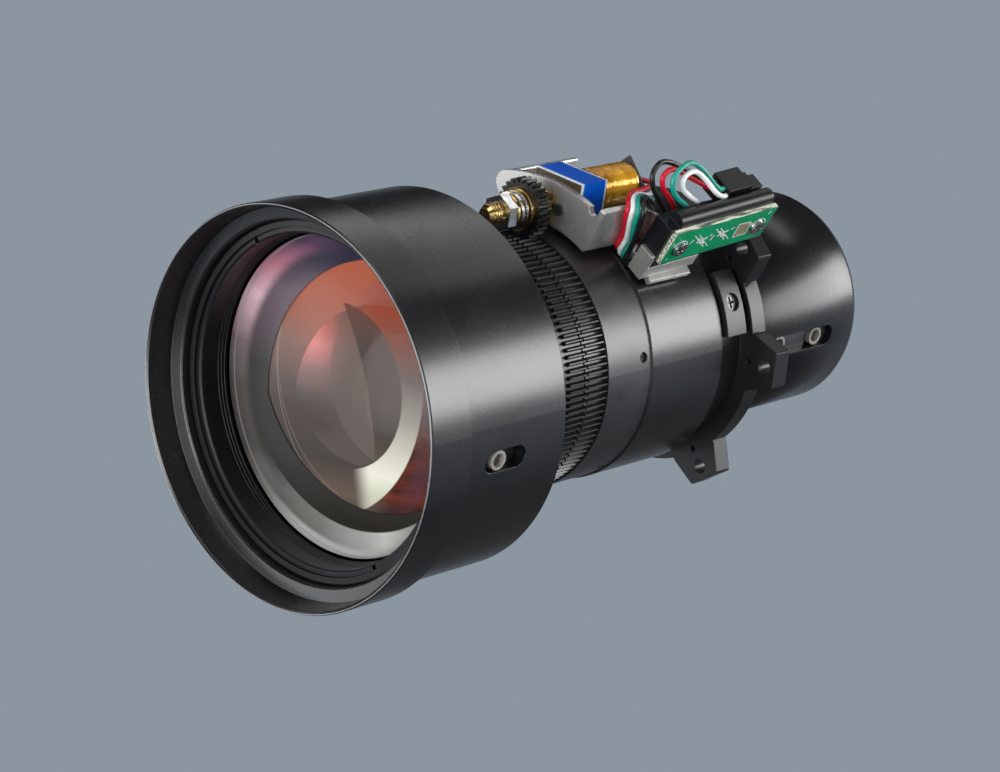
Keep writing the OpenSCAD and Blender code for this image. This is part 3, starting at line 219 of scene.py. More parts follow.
def cast_metal(name, colour, rough, edge, metallic=1.0):
    """Tumbled casting: pale speckle, soft dents and rounded edges."""
    s = Shader(name)
    speckle = s.noise(900.0, 3.0, 0.6)
    cloud = s.noise(90.0, 4.0, 0.6)
    dark = toned(colour, 0.72)
    shade = s.mix(s.remap(cloud, 0.3, 0.72), dark, colour)
    shade = s.mix(s.remap(speckle, 0.55, 0.75, 0.0, 0.35), shade, toned(colour, 1.25))
    gloss = s.remap(cloud, 0.25, 0.75, rough - 0.06, rough + 0.08)
    normal = s.normal(s.math("MULTIPLY_ADD", cloud, 1.6, speckle), 0.25, 0.00012, edge)
    return s.end(s.principled(shade, gloss, normal, Metallic=metallic))


def turned_metal(name, colour, rough, lines=2500.0):
    """Bright turned or plated metal with fine lathe lines and faint tarnish."""
    s = Shader(name)
    lathe = s.noise(1.0, 2.0, 0.5, stretch=(120, lines, 120))
    stain = s.noise(260.0, 4.0, 0.65)
    shade = s.mix(s.remap(stain, 0.35, 0.75), colour, toned(colour, 0.62))
    gloss = s.remap(stain, 0.3, 0.7, rough - 0.04, rough + 0.08)
    normal = s.normal(lathe, 0.12, 0.00005, 0.00015)
    return s.end(s.principled(shade, gloss, normal, Metallic=1.0))


def resin(name, colour, rough, edge=0.0002, size=1500.0, grain=0.12, spread=0.35, ior=1.5):
    """Moulded plastic: very fine texture, slow colour drift, rubbed edges."""
    s = Shader(name)
    fine = s.noise(size, 2.0, 0.5)
    drift = s.noise(70.0, 3.0, 0.6)
    shade = s.mix(s.remap(drift, 0.3, 0.7), toned(colour, 1 - spread),
                  toned(colour, 1 + spread))
    gloss = s.remap(drift, 0.25, 0.75, rough - 0.05, rough + 0.06)
    normal = s.normal(fine, grain, 0.00006, edge)
    return s.end(s.principled(shade, gloss, normal, IOR=ior))


def flock_black(name, colour, rough):
    """Matt black inside a hood: fine ribs catch a little light on their crests."""
    s = Shader(name)
    fine = s.noise(1400.0, 2.0, 0.6)
    drift = s.noise(50.0, 3.0, 0.6)
    shade = s.mix(s.remap(drift, 0.3, 0.7), toned(colour, 0.7), toned(colour, 1.4))
    return s.end(s.principled(shade, s.remap(fine, 0.3, 0.7, rough - 0.05, rough + 0.06),
                              s.normal(fine, 0.2, 0.00008, 0.0003), IOR=1.42))


def glass(name, tint, haze, haze_alpha, shine=1.0):
    """Coated glass that is seen through: clear body, tinted surface reflection, a trace of bloom."""
    s = Shader(name)
    clear = s.add("ShaderNodeBsdfTransparent")
    clear.inputs["Color"].default_value = (0.97, 0.965, 0.96, 1.0)
    bloom = s.noise(35.0, 3.0, 0.5)
    gloss = s.add("ShaderNodeBsdfGlossy")
    s.put(gloss.inputs["Color"], s.mix(bloom, tint, toned(tint, 1.2)))
    gloss.inputs["Roughness"].default_value = 0.02
    fresnel = s.add("ShaderNodeFresnel")
    fresnel.inputs["IOR"].default_value = 1.5
    soft = s.principled(haze, 0.3)
    body = s.add("ShaderNodeMixShader")
    s.put(body.inputs[0], s.remap(bloom, 0.2, 0.8, haze_alpha * 0.4, haze_alpha))
    s.tree.links.new(clear.outputs[0], body.inputs[1])
    s.tree.links.new(soft, body.inputs[2])
    both = s.add("ShaderNodeMixShader")
    # Seen from inside the glass a face would reflect everything, so only outer faces reflect.
    near = s.math("SUBTRACT", 1.0, s.add("ShaderNodeNewGeometry").outputs["Backfacing"])
    s.put(both.inputs[0], s.math("MULTIPLY", fresnel.outputs[0], s.math("MULTIPLY", near, shine)))
    s.tree.links.new(body.outputs[0], both.inputs[1])
    s.tree.links.new(gloss.outputs[0], both.inputs[2])
    return s.end(both.outputs[0])


# Point from which the painted reflections line up, the camera's place in millimetres, and the steps that find
# a colour's place
VIEWPOINT = (643.1, -753.8, 216.5)
DOME_STEPS = 3


class Paint:
    """Layers of painted reflection colour over a cap, laid out in millimetres across a shallow dome.

    The dome lies behind the lens face: its vertex counts from the rim, and bulge is its radius.
    Each colour sits where the line from VIEWPOINT to its place on the dome passes the cap.
    """

    def __init__(self, name, vertex, bulge):
        self.s = Shader(name)
        axes = self.s.axes()
        face = [self.s.math("MULTIPLY", axes[i], 1000.0) for i in range(3)]
        run = self.s.math("SUBTRACT", face[1], VIEWPOINT[1])
        across = [self.s.math("DIVIDE", self.s.math("SUBTRACT", face[i], VIEWPOINT[i]), run) for i in (0, 2)]
        self.x, self.z = face[0], face[2]
        for _ in range(DOME_STEPS):
            square = self.s.math("ADD", self.s.math("MULTIPLY", self.x, self.x),
                                 self.s.math("MULTIPLY", self.z, self.z))
            dome = self.s.math("MULTIPLY_ADD", square, 0.5 / bulge, vertex + RIM_Y)
            depth = self.s.math("SUBTRACT", dome, face[1])
            self.x = self.s.math("MULTIPLY_ADD", across[0], depth, face[0])
            self.z = self.s.math("MULTIPLY_ADD", across[1], depth, face[2])

    def distance(self, cx, cz):
        dx = self.s.math("SUBTRACT", self.x, cx)
        dz = self.s.math("SUBTRACT", self.z, cz)
        return self.s.math("SQRT", self.s.math("ADD", self.s.math("MULTIPLY", dx, dx),
                                               self.s.math("MULTIPLY", dz, dz)))

    def inside(self, cx, cz, r, soft=0.25):
        return self.s.remap(self.distance(cx, cz), r + soft, r - soft, 0.0, 1.0, smooth=True)

    def outside(self, cx, cz, r, soft=0.25):
        return self.s.remap(self.distance(cx, cz), r - soft, r + soft, 0.0, 1.0, smooth=True)

    def band(self, cx, cz, r, half, soft):
        off = self.s.math("ABSOLUTE", self.s.math("SUBTRACT", self.distance(cx, cz), r))
        return self.s.remap(off, half + soft, half, 0.0, 1.0, smooth=True)

    def across(self, axis, lo, hi):
        return self.s.remap(self.x if axis == "x" else self.z, lo, hi, 0.0, 1.0, smooth=True)

    def both(self, *masks):
        out = masks[0]
        for mask in masks[1:]:
            out = self.s.math("MULTIPLY", out, mask)
        return out

    def by(self, axis, lo, hi, stops):
        place = self.s.remap(self.x if axis == "x" else self.z, lo, hi)
        return self.s.ramp(place, [((p - lo) / (hi - lo), srgb(*c)) for p, c in stops])

    def end(self, colour, alpha, rough):
        s = self.s
        clear = s.add("ShaderNodeBsdfTransparent")
        solid = s.principled(colour, rough, Specular_IOR_Level=0.12)
        both = s.add("ShaderNodeMixShader")
        s.put(both.inputs[0], alpha)
        s.tree.links.new(clear.outputs[0], both.inputs[1])
        s.tree.links.new(solid, both.inputs[2])
        return s.end(both.outputs[0])


def painted_ring_reflection():
    """Painted reflections in the outer zone of the front element: lilac above, grey at the left, pale
    crescent below.
    """
    p = Paint("painted_reflection_outer", 19.65, 220.0)
    s = p.s
    outer = p.by("z", -44, 44, [(-42, (190, 190, 188)), (-34, (130, 129, 125)), (-22, (78, 76, 74)),
                                (-4, (80, 76, 74)), (10, (118, 104, 108)), (24, (226, 188, 200)),
                                (34, (190, 124, 142)), (42, (92, 70, 96))])
    inner = p.by("z", -44, 44, [(-36, (40, 38, 30)), (-20, (58, 56, 55)), (5, (58, 57, 57)),
                                (28, (108, 92, 104)), (38, (66, 62, 76))])
    colour = s.mix(p.outside(3.0, 0.0, 42.6, 2.2), inner, outer)
    right = p.across("x", -14, 8)
    above = p.across("z", 0, 20)
    colour = s.mix(p.both(right, above), colour, srgb(46, 46, 66))
    crescent = p.both(p.outside(5.0, 8.2, 46.2, 0.3), p.inside(1.2, 5.6, 50.0, 1.0), p.across("z", -18, -34))
    pale = p.by("x", -30, 30, [(-28, (96, 96, 93)), (-10, (122, 121, 117)), (8, (172, 172, 170)),
                               (16, (205, 205, 202)), (28, (150, 150, 146))])
    colour = s.mix(crescent, colour, pale)
    streak = s.noise(1.0, 2.0, 0.5, vector=s.scaled((40, 40, 520)))
    colour = s.mix(s.math("MULTIPLY", streak, 0.22), colour, srgb(30, 30, 30))
    rim = p.band(0.0, 0.0, 46.6, 0.15, 0.35)
    colour = s.mix(s.math("MULTIPLY", rim, 0.6), colour, srgb(150, 146, 148))
    second = p.both(p.inside(16.7, -5.0, 46.0, 0.3), p.inside(12.9, 14.9, 46.0, 0.3))
    alpha = s.math("MULTIPLY_ADD", second, -0.93, 0.96, clamp=True)
    return p.end(colour, alpha, 0.3)


def painted_disc_reflection():
    """Painted nested reflections of the second element: orange above, brown grey at the left, cream crescent.
    """
    p = Paint("painted_reflection_inner", 23.5, 260.0)
    s = p.s
    colour = p.by("z", -46, 46, [(-40, (52, 46, 42)), (-29, (96, 82, 73)), (-20, (64, 59, 56)),
                                 (0, (78, 68, 66)), (13, (122, 92, 84)), (24, (150, 84, 62)),
                                 (36, (178, 76, 30)), (44, (190, 96, 40))])
    veil = p.both(p.inside(13.0, 2.0, 40.0, 0.5), p.across("x", -26, -10), p.across("z", -4, 22))
    colour = s.mix(s.math("MULTIPLY", veil, 0.35), colour, srgb(176, 116, 104))
    low_right = p.both(p.across("x", 4, 20), p.across("z", 2, -16))
    streak = s.noise(1.0, 3.0, 0.6, vector=s.scaled((60, 60, 300)))
    # Painted reflection: dark red streaks over the lower right of the second element
    red_reflection = s.mix(s.remap(streak, 0.35, 0.7), srgb(44, 16, 10), srgb(112, 44, 26))
    colour = s.mix(low_right, colour, red_reflection)
    purple = p.both(p.across("x", 14, 30), p.band(-6.0, -2.0, 38.0, 1.5, 2.5), p.across("z", -6, -18))
    colour = s.mix(s.math("MULTIPLY", purple, 0.6), colour, srgb(92, 52, 66))
    top_right = p.both(p.across("x", 2, 14), p.across("z", 8, 22), p.inside(30.0, 4.0, 36.0, 0.3))
    colour = s.mix(s.math("MULTIPLY", top_right, 0.8), colour, srgb(158, 84, 74))
    arc = p.band(13.0, 4.0, 42.0, 0.12, 0.3)
    colour = s.mix(s.math("MULTIPLY", arc, 0.3), colour, srgb(150, 138, 134))
    arc = p.band(11.0, 6.5, 39.6, 0.1, 0.25)
    colour = s.mix(s.math("MULTIPLY", arc, 0.25), colour, srgb(150, 140, 136))

    upper = p.inside(15.2, -8.7, 36.5, 0.22)
    lower = p.inside(4.5, 7.5, 26.8, 0.3)
    right = p.inside(-14.4, 7.1, 44.3, 0.22)
    disc = p.both(upper, lower, right)
    pink = p.by("z", -20, 30, [(-19, (90, 82, 78)), (-10, (66, 60, 58)), (-2, (80, 72, 70)),
                               (6, (134, 104, 102)), (13, (208, 132, 128)), (20, (196, 104, 88)),
                               (28, (172, 76, 46))])
    core = s.mix(p.across("x", -14, 4), pink, srgb(82, 74, 71))
    core = s.mix(p.both(p.across("x", 2, 12), p.across("z", 12, 24)), core, srgb(140, 62, 42))
    colour = s.mix(disc, colour, core)

    fourth = p.both(p.inside(18.6, 6.1, 24.1, 0.22), right)
    lift = p.by("z", -20, 30, [(-18, (104, 97, 92)), (0, (92, 84, 80)), (14, (112, 92, 86)),
                               (26, (140, 74, 56))])
    colour = s.mix(s.math("MULTIPLY", fourth, 0.55), colour, lift)
    inner = p.inside(-1.6, 2.7, 23.9, 0.2)
    hollow = p.both(inner, p.outside(-60.4, -14.4, 72.2, 0.22))
    dusk = p.by("z", -20, 26, [(-18, (88, 78, 64)), (-8, (52, 48, 44)), (6, (46, 43, 42)),
                               (16, (64, 52, 48)), (25, (96, 56, 44))])
    colour = s.mix(hollow, colour, dusk)
    fifth = p.both(p.inside(31.4, -3.2, 28.4, 0.2), inner, p.across("z", -12, 4))
    colour = s.mix(s.math("MULTIPLY", fifth, 0.35), colour, srgb(112, 96, 92))

    ring = p.both(p.outside(-1.6, 2.7, 23.9, 0.2), right, p.across("x", 2, 10), upper)
    sweep = p.by("z", -32, 30, [(-28, (206, 206, 188)), (-21, (236, 236, 220)), (-13, (206, 204, 188)),
                                (-4, (150, 146, 136)), (8, (98, 86, 84)), (17, (116, 66, 52)),
                                (27, (150, 66, 38))])
    colour = s.mix(ring, colour, sweep)
    mist = s.noise(28.0, 3.0, 0.5)
    colour = s.mix(s.math("MULTIPLY", mist, 0.1), colour, srgb(120, 112, 108))

    edge = p.both(p.inside(12.9, -6.2, 46.3, 0.3), p.inside(9.1, 13.7, 46.3, 0.3))
    return p.end(colour, s.math("MULTIPLY", edge, 0.97), 0.25)


def lead_paint(name, colour):
    """Soft insulation of a lead, slightly uneven in colour and gloss."""
    s = Shader(name)
    drift = s.noise(500.0, 3.0, 0.5)
    shade = s.mix(drift, toned(colour, 0.8), toned(colour, 1.15))
    return s.end(s.principled(shade, s.remap(drift, 0.3, 0.7, 0.27, 0.40),
                              s.normal(drift, 0.12, 0.0001)))


def tape_blue():
    """Blue tape with a white band at both ends."""
    s = Shader("tape_blue")
    axes = s.axes()
    drift = s.noise(70.0, 3.0, 0.6)
    blue = s.mix(drift, (0.0, 0.065, 0.46), (0.0, 0.15, 0.84))
    wave = s.math("MULTIPLY_ADD", s.noise(260.0, 2.0, 0.5), 0.0004, axes[1])
    front = s.remap(wave, TAPE_FRONT + 0.0011, TAPE_FRONT + 0.0009)
    rear = s.remap(wave, TAPE_REAR - 0.0006, TAPE_REAR - 0.0004)
    shade = s.mix(s.math("MAXIMUM", front, rear), blue, srgb(228, 232, 238))
    return s.end(s.principled(shade, 0.3, s.normal(s.noise(200.0, 2.0, 0.5), 0.3, 0.00006, 0.0002), IOR=1.3))


def tape_amber():
    """Clear amber film wrapped round the motor, creased, darker in patches where it overlaps, with painted
    shade along the creases.
    """
    s = Shader("tape_amber")
    crease_with_shade = s.noise(1.0, 4.0, 0.6, stretch=(160, 420, 160))
    deep = s.noise(55.0, 3.0, 0.6)
    shade = s.mix(s.remap(deep, 0.38, 0.62), (0.34, 0.13, 0.004), (0.95, 0.50, 0.03))
    # Painted shade: the film turns darker along its creases
    shade = s.mix(s.remap(crease_with_shade, 0.56, 0.72, 0.0, 0.75), shade, (0.16, 0.055, 0.003))
    normal = s.normal(s.math("MULTIPLY_ADD", deep, 2.0, crease_with_shade), 0.7, 0.0006)
    return s.end(s.principled(shade, 0.16, normal, Metallic=0.25))


def print_grey():
    """Tinned pad seen through hatched lacquer."""
    s = Shader("pad_hatch")
    lines = s.noise(1.0, 1.0, 0.5, stretch=(2600, 900, 900))
    shade = s.mix(s.remap(lines, 0.42, 0.56), srgb(96, 112, 74), srgb(158, 142, 120))
    return s.end(s.principled(shade, 0.4))


def laminate():
    """Cut edge of the board: pale glass layers with fine dark lines along it."""
    s = Shader("laminate_edge")
    lines = s.noise(1.0, 2.0, 0.5, stretch=(1500, 60, 1500))
    shade = s.mix(s.remap(lines, 0.42, 0.58), srgb(96, 100, 92), srgb(226, 230, 208))
    return s.end(s.principled(shade, 0.45))


MATS = {
    "hood": turned_black("hood_black", (0.006, 0.006, 0.007), 0.27, ior=1.7),
    "cell": flock_black("cell_black", (0.005, 0.005, 0.006), 0.42),
    "retainer": flock_black("ribbed_black", (0.005, 0.005, 0.006), 0.36),
    "gear": resin("gear_black", (0.006, 0.006, 0.007), 0.33, ior=1.6),
    "sleeve": resin("sleeve_grey", (0.018, 0.018, 0.020), 0.36, ior=1.7),
    "tube": turned_black("tube_dark", (0.014, 0.014, 0.016), 0.40),
    "barrel": turned_black("barrel_black", (0.006, 0.006, 0.007), 0.27, ior=1.7),
    "flange": turned_black("flange_black", (0.009, 0.009, 0.010), 0.34, edge=0.0004, ior=1.5),
    "rear": turned_black("rear_barrel_black", (0.005, 0.005, 0.006), 0.27, ior=1.5),
    "roller": resin("roller_pale", (0.30, 0.28, 0.25), 0.35, spread=0.12),
    "dark_screw": cast_metal("screw_dark", (0.16, 0.16, 0.17), 0.35, metallic=0.8, edge=0.00012),
    "screw": turned_metal("screw_bright", (0.62, 0.62, 0.64), 0.22),
    "brass": turned_metal("brass", (0.75, 0.53, 0.22), 0.2),
    "spring": turned_metal("spring_steel", (0.82, 0.82, 0.83), 0.14),
    "nut": turned_metal("nut_bright", (0.80, 0.80, 0.80), 0.16, lines=600.0),
    "bracket": cast_metal("bracket_silver", (0.60, 0.59, 0.57), 0.27, edge=0.0006, metallic=0.6),
    "gearbox": resin("gearbox_brown", (0.045, 0.027, 0.012), 0.35),
    "motor": turned_metal("motor_steel", (0.62, 0.62, 0.62), 0.25),
    "amber": tape_amber(),
    "plate": resin("plate_dark", (0.03, 0.03, 0.034), 0.4),
    "holder": resin("holder_black", (0.006, 0.006, 0.007), 0.30, edge=0.0005, ior=1.45),
    "board": resin("board_green", (0.0, 0.25, 0.10), 0.32, spread=0.2, size=220.0, grain=0.25, ior=1.35),
    "tape": tape_blue(),
    "front_glass": glass("front_glass", (0.86, 0.82, 0.92), (0.45, 0.42, 0.45), 0.01, 0.05),
    "inner_glass": glass("inner_glass", (0.62, 0.80, 0.70), (0.25, 0.25, 0.24), 0.05, 0.3),
    # Painted reflections of the lens elements, laid on two caps behind the front glass
    "ring_reflection_painted": painted_ring_reflection(),
    "disc_reflection_painted": painted_disc_reflection(),
    "lead_red": lead_paint("lead_red", srgb(206, 16, 40)),
    "lead_black": lead_paint("lead_black", srgb(18, 18, 19)),
    "lead_green": lead_paint("lead_green", srgb(20, 150, 130)),
    "lead_white": lead_paint("lead_white", srgb(236, 238, 238)),
    "white": resin("white_ink", (0.78, 0.80, 0.80), 0.45, spread=0.06),
    "hatch": print_grey(),
    "laminate": laminate(),
    # Grey paint on the hood's rim edge stands in for a highlight
    "rim": cast_metal("rim_painted_highlight", (0.30, 0.30, 0.30), 0.34, edge=0.0, metallic=0.5),
    "lug_edge": cast_metal("edge_bright", (0.85, 0.85, 0.84), 0.3, edge=0.0003),
    "solder": turned_metal("solder", (0.74, 0.74, 0.72), 0.2),
}

NODE_MATS = {
    "front_hood": "hood", "front_cell": "cell", "front_retaining_ring": "retainer",
    "front_lens": "front_glass", "second_lens": "inner_glass", "third_lens": "inner_glass",
    "focus_rollers": "roller", "focus_roller_screws": "dark_screw", "focus_pins": "screw",
    "focus_ring_gear": "gear", "ring_spacer": "gear", "guide_tube": "tube", "zoom_ring_gear": "sleeve",
    "zoom_drive_pins": "dark_screw", "zoom_cam_barrel": "tube", "zoom_front_cell": "cell",
    "zoom_front_lens": "inner_glass", "zoom_front_rollers": "roller", "zoom_front_screws": "dark_screw",
    "zoom_rear_cell": "cell", "zoom_rear_lens": "inner_glass", "zoom_rear_rollers": "roller",
    "zoom_rear_screws": "dark_screw", "main_barrel": "barrel", "mount_flange": "flange",
    "clamp_block": "flange", "clamp_screw": "dark_screw", "rear_barrel": "rear", "rear_lens": "inner_glass",
    "rear_retaining_ring": "retainer", "drive_shaft": "brass", "drive_pinion": "gear",
    "friction_washers": "brass", "spring_washers": "spring", "clutch_nut": "nut",
    "bearing_bush": "brass", "motor_bracket": "bracket", "bracket_screws": "screw",
    "gearbox": "gearbox", "gearbox_screw": "dark_screw", "gearbox_tape": "tape",
    "motor_body": "motor", "motor_tape": "amber", "motor_end_plate": "plate",
    "connector_holder": "holder", "connector_block": "holder", "circuit_board": "board",
    "board_screws": "screw", "red_lead": "lead_red", "black_lead": "lead_black",
    "green_lead": "lead_green", "white_lead": "lead_white",
}
for node_name, key in NODE_MATS.items():
    mesh = NODES[node_name].data
    mesh.materials.clear()
    mesh.materials.append(MATS[key])


# Geometry helpers

def mesh_object(name, verts, faces, mat, smooth=True):
    data = bpy.data.meshes.new(name)
    data.from_pydata([tuple(v) for v in verts], [], [tuple(f) for f in faces])
    data.validate()
    obj = bpy.data.objects.new(name, data)
    bpy.context.scene.collection.objects.link(obj)
    data.materials.append(mat)
    if smooth:
        for poly in data.polygons:
            poly.use_smooth = True
    return obj


def catmull(points, steps):
    pts = [Vector(p) for p in points]
    pts = [2 * pts[0] - pts[1]] + pts + [2 * pts[-1] - pts[-2]]
    out = []
    for i in range(1, len(pts) - 2):
        a, b, c, d = pts[i - 1:i + 3]
        for k in range(steps):
            t = k / steps
            out.append(0.5 * (2 * b + (c - a) * t + (2 * a - 5 * b + 4 * c - d) * t * t
                              + (3 * b - a - 3 * c + d) * t ** 3))
    out.append(pts[-2])
    return out


def tube(name, path, radius, mat, sides=14):
    verts, faces = [], []
    normal = None
    for i, p in enumerate(path):
        a = path[max(0, i - 1)]
        b = path[min(len(path) - 1, i + 1)]
        along = (b - a).normalized()
        if normal is None:
            normal = along.orthogonal().normalized()
        normal = (normal - along * normal.dot(along)).normalized()
        cross = along.cross(normal)
        for k in range(sides):
            turn = 2 * math.pi * k / sides
            verts.append(p + radius * (math.cos(turn) * normal + math.sin(turn) * cross))
    n = len(path)
    for i in range(n - 1):
        for k in range(sides):
            j = (k + 1) % sides
            faces.append((i * sides + k, i * sides + j, (i + 1) * sides + j, (i + 1) * sides + k))
    faces.append(tuple(reversed(range(sides))))
    faces.append(tuple((n - 1) * sides + k for k in range(sides)))
    return mesh_object(name, verts, faces, mat)


def cap(name, edge_s, radius, bulge_r, mat, rings=40, sides=128):
    """A shallow dome across the lens, bulging toward the front rim."""
    sag = bulge_r - math.sqrt(bulge_r ** 2 - radius ** 2)
    verts = [(0.0, (RIM_Y + edge_s - sag) * MM, 0.0)]
    faces = []
    for i in range(1, rings + 1):
        r = radius * i / rings
        depth = edge_s - sag + bulge_r - math.sqrt(bulge_r ** 2 - r ** 2)
        for k in range(sides):
            turn = 2 * math.pi * k / sides
            verts.append((r * math.sin(turn) * MM, (RIM_Y + depth) * MM, r * math.cos(turn) * MM))
    for k in range(sides):
        faces.append((0, 1 + (k + 1) % sides, 1 + k))
    for i in range(rings - 1):
        a, b = 1 + i * sides, 1 + (i + 1) * sides
        for k in range(sides):
            j = (k + 1) % sides
            faces.append((a + k, a + j, b + j, b + k))
    return mesh_object(name, verts, faces, mat)


def prism_faces(n):
    """Faces between two outlines of n points each, closed at both ends."""
    ends = [list(range(n)), [2 * n - 1 - i for i in range(n)]]
    return ends + [[i, i + n, (i + 1) % n + n, (i + 1) % n] for i in range(n)]


# Leads

MOTOR_HEIGHT = 47.13
LEAD_SIDE = 4.6
LEAD_STEPS = 6
DRIVE_TURN = math.radians(27)
BOARD_CLOCK = math.radians(38)
PLATE_S = 96.55
LEAD_R = 0.8


def lead_point(p):
    """A point given by its height and side step from the optical axis at the board's clock angle."""
    h, n, back = p
    c, s = math.cos(BOARD_CLOCK), math.sin(BOARD_CLOCK)
    return Vector((n * c + h * s, PLATE_S + back + RIM_Y, -n * s + h * c)) * MM


def lead_start(lift):
    """First points of a lead, straight out of the motor's end plate and round its edge."""
    h = MOTOR_HEIGHT + lift
    c, s = math.cos(DRIVE_TURN), math.sin(DRIVE_TURN)
    places = [(0.0, 32.4), (0.0, 34.2), (1.8, 37.0), (5.4, 36.6)]
    sides = [(LEAD_SIDE + out, back) for out, back in places]
    return [(h * c + side * s, side * c - h * s, back) for side, back in sides]


LEADS = {
    "red_lead": lead_start(4.4) + [
        (56, -9.1, 21.8), (58.2, -7.2, 15), (59, -4.6, 10.8), (58.5, -2.1, 8.6), (55.3, -1, 8.8),
        (47.8, -0.8, 12.6), (44, -0.5, 12.6), (41.1, -0.4, 16.4), (41.1, -0.4, 21.5),
        (42.8, -0.2, 25.6), (47, 0.4, 28), (53, 1.2, 28), (58.8, 1.6, 25.2), (63.2, 0.8, 20.6),
        (66.6, -0.4, 16.6), (69.8, -1.8, 15.4), (71.4, -2.8, 18.4), (70.4, -2.6, 22.6),
        (68.4, -1.4, 27.4), (66.9, 0.8, 32.2), (66.3, 2.6, 35.4), (66.3, 2.9, 37.04),
        (66.43, 2.9, 38.66),
    ],
    "white_lead": lead_start(2.2) + [
        (54, -8.4, 26), (59, -5.6, 15.4), (60.4, -3.2, 10.6), (59.6, -0.4, 8.4), (55.8, 0.7, 8.8),
        (47.8, 1, 12.6), (43.6, 1.3, 12.6), (41.1, 1.4, 16.4), (41.1, 1.4, 30), (42.9, 1.8, 34),
        (47, 2.8, 36), (53, 3.8, 36.6), (58.8, 4.2, 35.2), (63, 4.3, 30), (66.2, 4, 24.6),
        (69, 3.2, 20.4), (72.2, 1.8, 19.6), (73.2, 0.8, 23.4), (71.6, 0.8, 28), (69.4, 2.6, 31.6),
        (67.3, 5.2, 34.4), (66.27, 6.5, 37.05), (66.4, 6.5, 38.66),
    ],
    "green_lead": lead_start(0.2) + [
        (53, -7, 27.2), (59.8, -4, 15.8), (61.8, -1.8, 10.4), (60.8, 1.4, 8.2), (56.2, 2.6, 8.8),
        (47.8, 2.9, 12.6), (43.2, 3.2, 12.6), (41, 3.3, 16.4), (41, 3.3, 25.6), (43, 3.7, 29.4),
        (47, 4.2, 31.4), (53, 4.4, 31.8), (58.4, 4.4, 29.8), (62.8, 4.4, 24.8), (66.6, 4.2, 18.8),
        (70.2, 3, 15), (73.4, 1.2, 15.4), (75.2, -0.4, 19.6), (74.2, -1.6, 25), (72, -1.2, 29.8),
        (69.8, 0.8, 33.2), (68.1, 3.6, 35.4), (67.47, 4.7, 36.93), (67.6, 4.7, 38.55),
    ],
    "black_lead": lead_start(-1.7) + [
        (50.8, -5.8, 29), (60.4, -2.2, 16.2), (63.2, -0.4, 10.2), (62, 3.2, 8), (56.6, 4.5, 8.8),
        (48, 4.5, 11.4), (43, 5, 11.6), (40.8, 5.2, 15.6), (40.8, 5.2, 21), (42.6, 4.6, 24.8),
        (46.6, 3.8, 26), (52, 3.2, 25), (57.6, 2.6, 21.4), (62.4, 1.4, 16.8), (66.6, -0.6, 12.6),
        (70.2, -3, 11.6), (72.4, -5, 15), (71.6, -5.4, 20), (69.4, -4.6, 26), (67.4, -2.6, 31.4),
        (66.3, -0.4, 34.8), (66.2, 1.1, 37.06), (66.33, 1.1, 38.67),
    ],
}
for lead_name, route in LEADS.items():
    path = catmull([lead_point(p) for p in route], LEAD_STEPS)
    lead = tube(lead_name.replace("lead", "wire"), path, LEAD_R * MM, MATS[NODE_MATS[lead_name]])
    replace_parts(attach(lead, BARREL), lead_name)


# Drive shaft thread

SHAFT_CLOCK = math.radians(11)
SHAFT_HEIGHT = 47.125
SHAFT_AXIS = (SHAFT_HEIGHT * math.sin(SHAFT_CLOCK), SHAFT_HEIGHT * math.cos(SHAFT_CLOCK))
THREAD_PITCH = 1.25
THREAD_STEPS = 24
RIDGE_SINK, RIDGE_R = 0.08, 0.46


def front_end(name):
    """How far forward a node reaches."""
    return min(v.co.y for v in NODES[name].data.vertices) / MM


thread_start = front_end("drive_shaft") + 1.6
thread_end = front_end("clutch_nut") - 0.1
shaft_r = max(math.hypot(v.co.x / MM - SHAFT_AXIS[0], v.co.z / MM - SHAFT_AXIS[1])
              for v in NODES["drive_shaft"].data.vertices)
thread_r = shaft_r - RIDGE_SINK
thread = []
for step in range(int((thread_end - thread_start) / THREAD_PITCH * THREAD_STEPS) + 1):
    angle = 2 * math.pi * step / THREAD_STEPS
    thread.append(Vector((SHAFT_AXIS[0] + thread_r * math.cos(angle),
                          thread_start + THREAD_PITCH * step / THREAD_STEPS,
                          SHAFT_AXIS[1] + thread_r * math.sin(angle))) * MM)
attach(tube("shaft_thread", thread, RIDGE_R * MM, MATS["brass"], 8), DRIVE)


# Board print

BOARD_TILT = math.radians(4.6)
BOARD_HEIGHT, BOARD_START = 50, 13.9
BOARD_WIDTH, BOARD_LENGTH = 12.6, 43.4
BOARD_FACE = 14.0
EDGE_LEVELS = (12.42, 13.98)
EDGE_SKIN = 0.06
FRONT_SCREW, REAR_SCREW = (5.4, 5.0), (5.4, 38.4)


def board_point(x, z, level):
    """Board places: x up from its lower edge, z back from its front end, level out from the axis."""
    c, s = math.cos(BOARD_TILT), math.sin(BOARD_TILT)
    return lead_point((BOARD_HEIGHT + x * c + z * s, level, BOARD_START + z * c - x * s))


def slab(verts, faces, corners, lift):
    """Add a thin prism whose outline lies on the board's face."""
    start = len(verts)
    n = len(corners)
    for level in (BOARD_FACE, BOARD_FACE + lift):
        verts.extend(board_point(x, z, level) for x, z in corners)
    faces.append([start + n + i for i in range(n)])
    for i in range(n):
        j = (i + 1) % n
        faces.append([start + i, start + j, start + n + j, start + n + i])


def stroke(x0, z0, x1, z1, width):
    dx, dz = x1 - x0, z1 - z0
    size = math.hypot(dx, dz)
    ox, oz = -dz / size * width / 2, dx / size * width / 2
    return [(x0 + ox, z0 + oz), (x1 + ox, z1 + oz), (x1 - ox, z1 - oz), (x0 - ox, z0 - oz)]


def print_object(name, outlines, mat, slot=None, lift=0.05):
    verts, faces = [], []
    for corners in outlines:
        slab(verts, faces, corners, lift)
    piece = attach(mesh_object(name, verts, faces, MATS[mat], smooth=False), BARREL)
    return piece if slot else piece


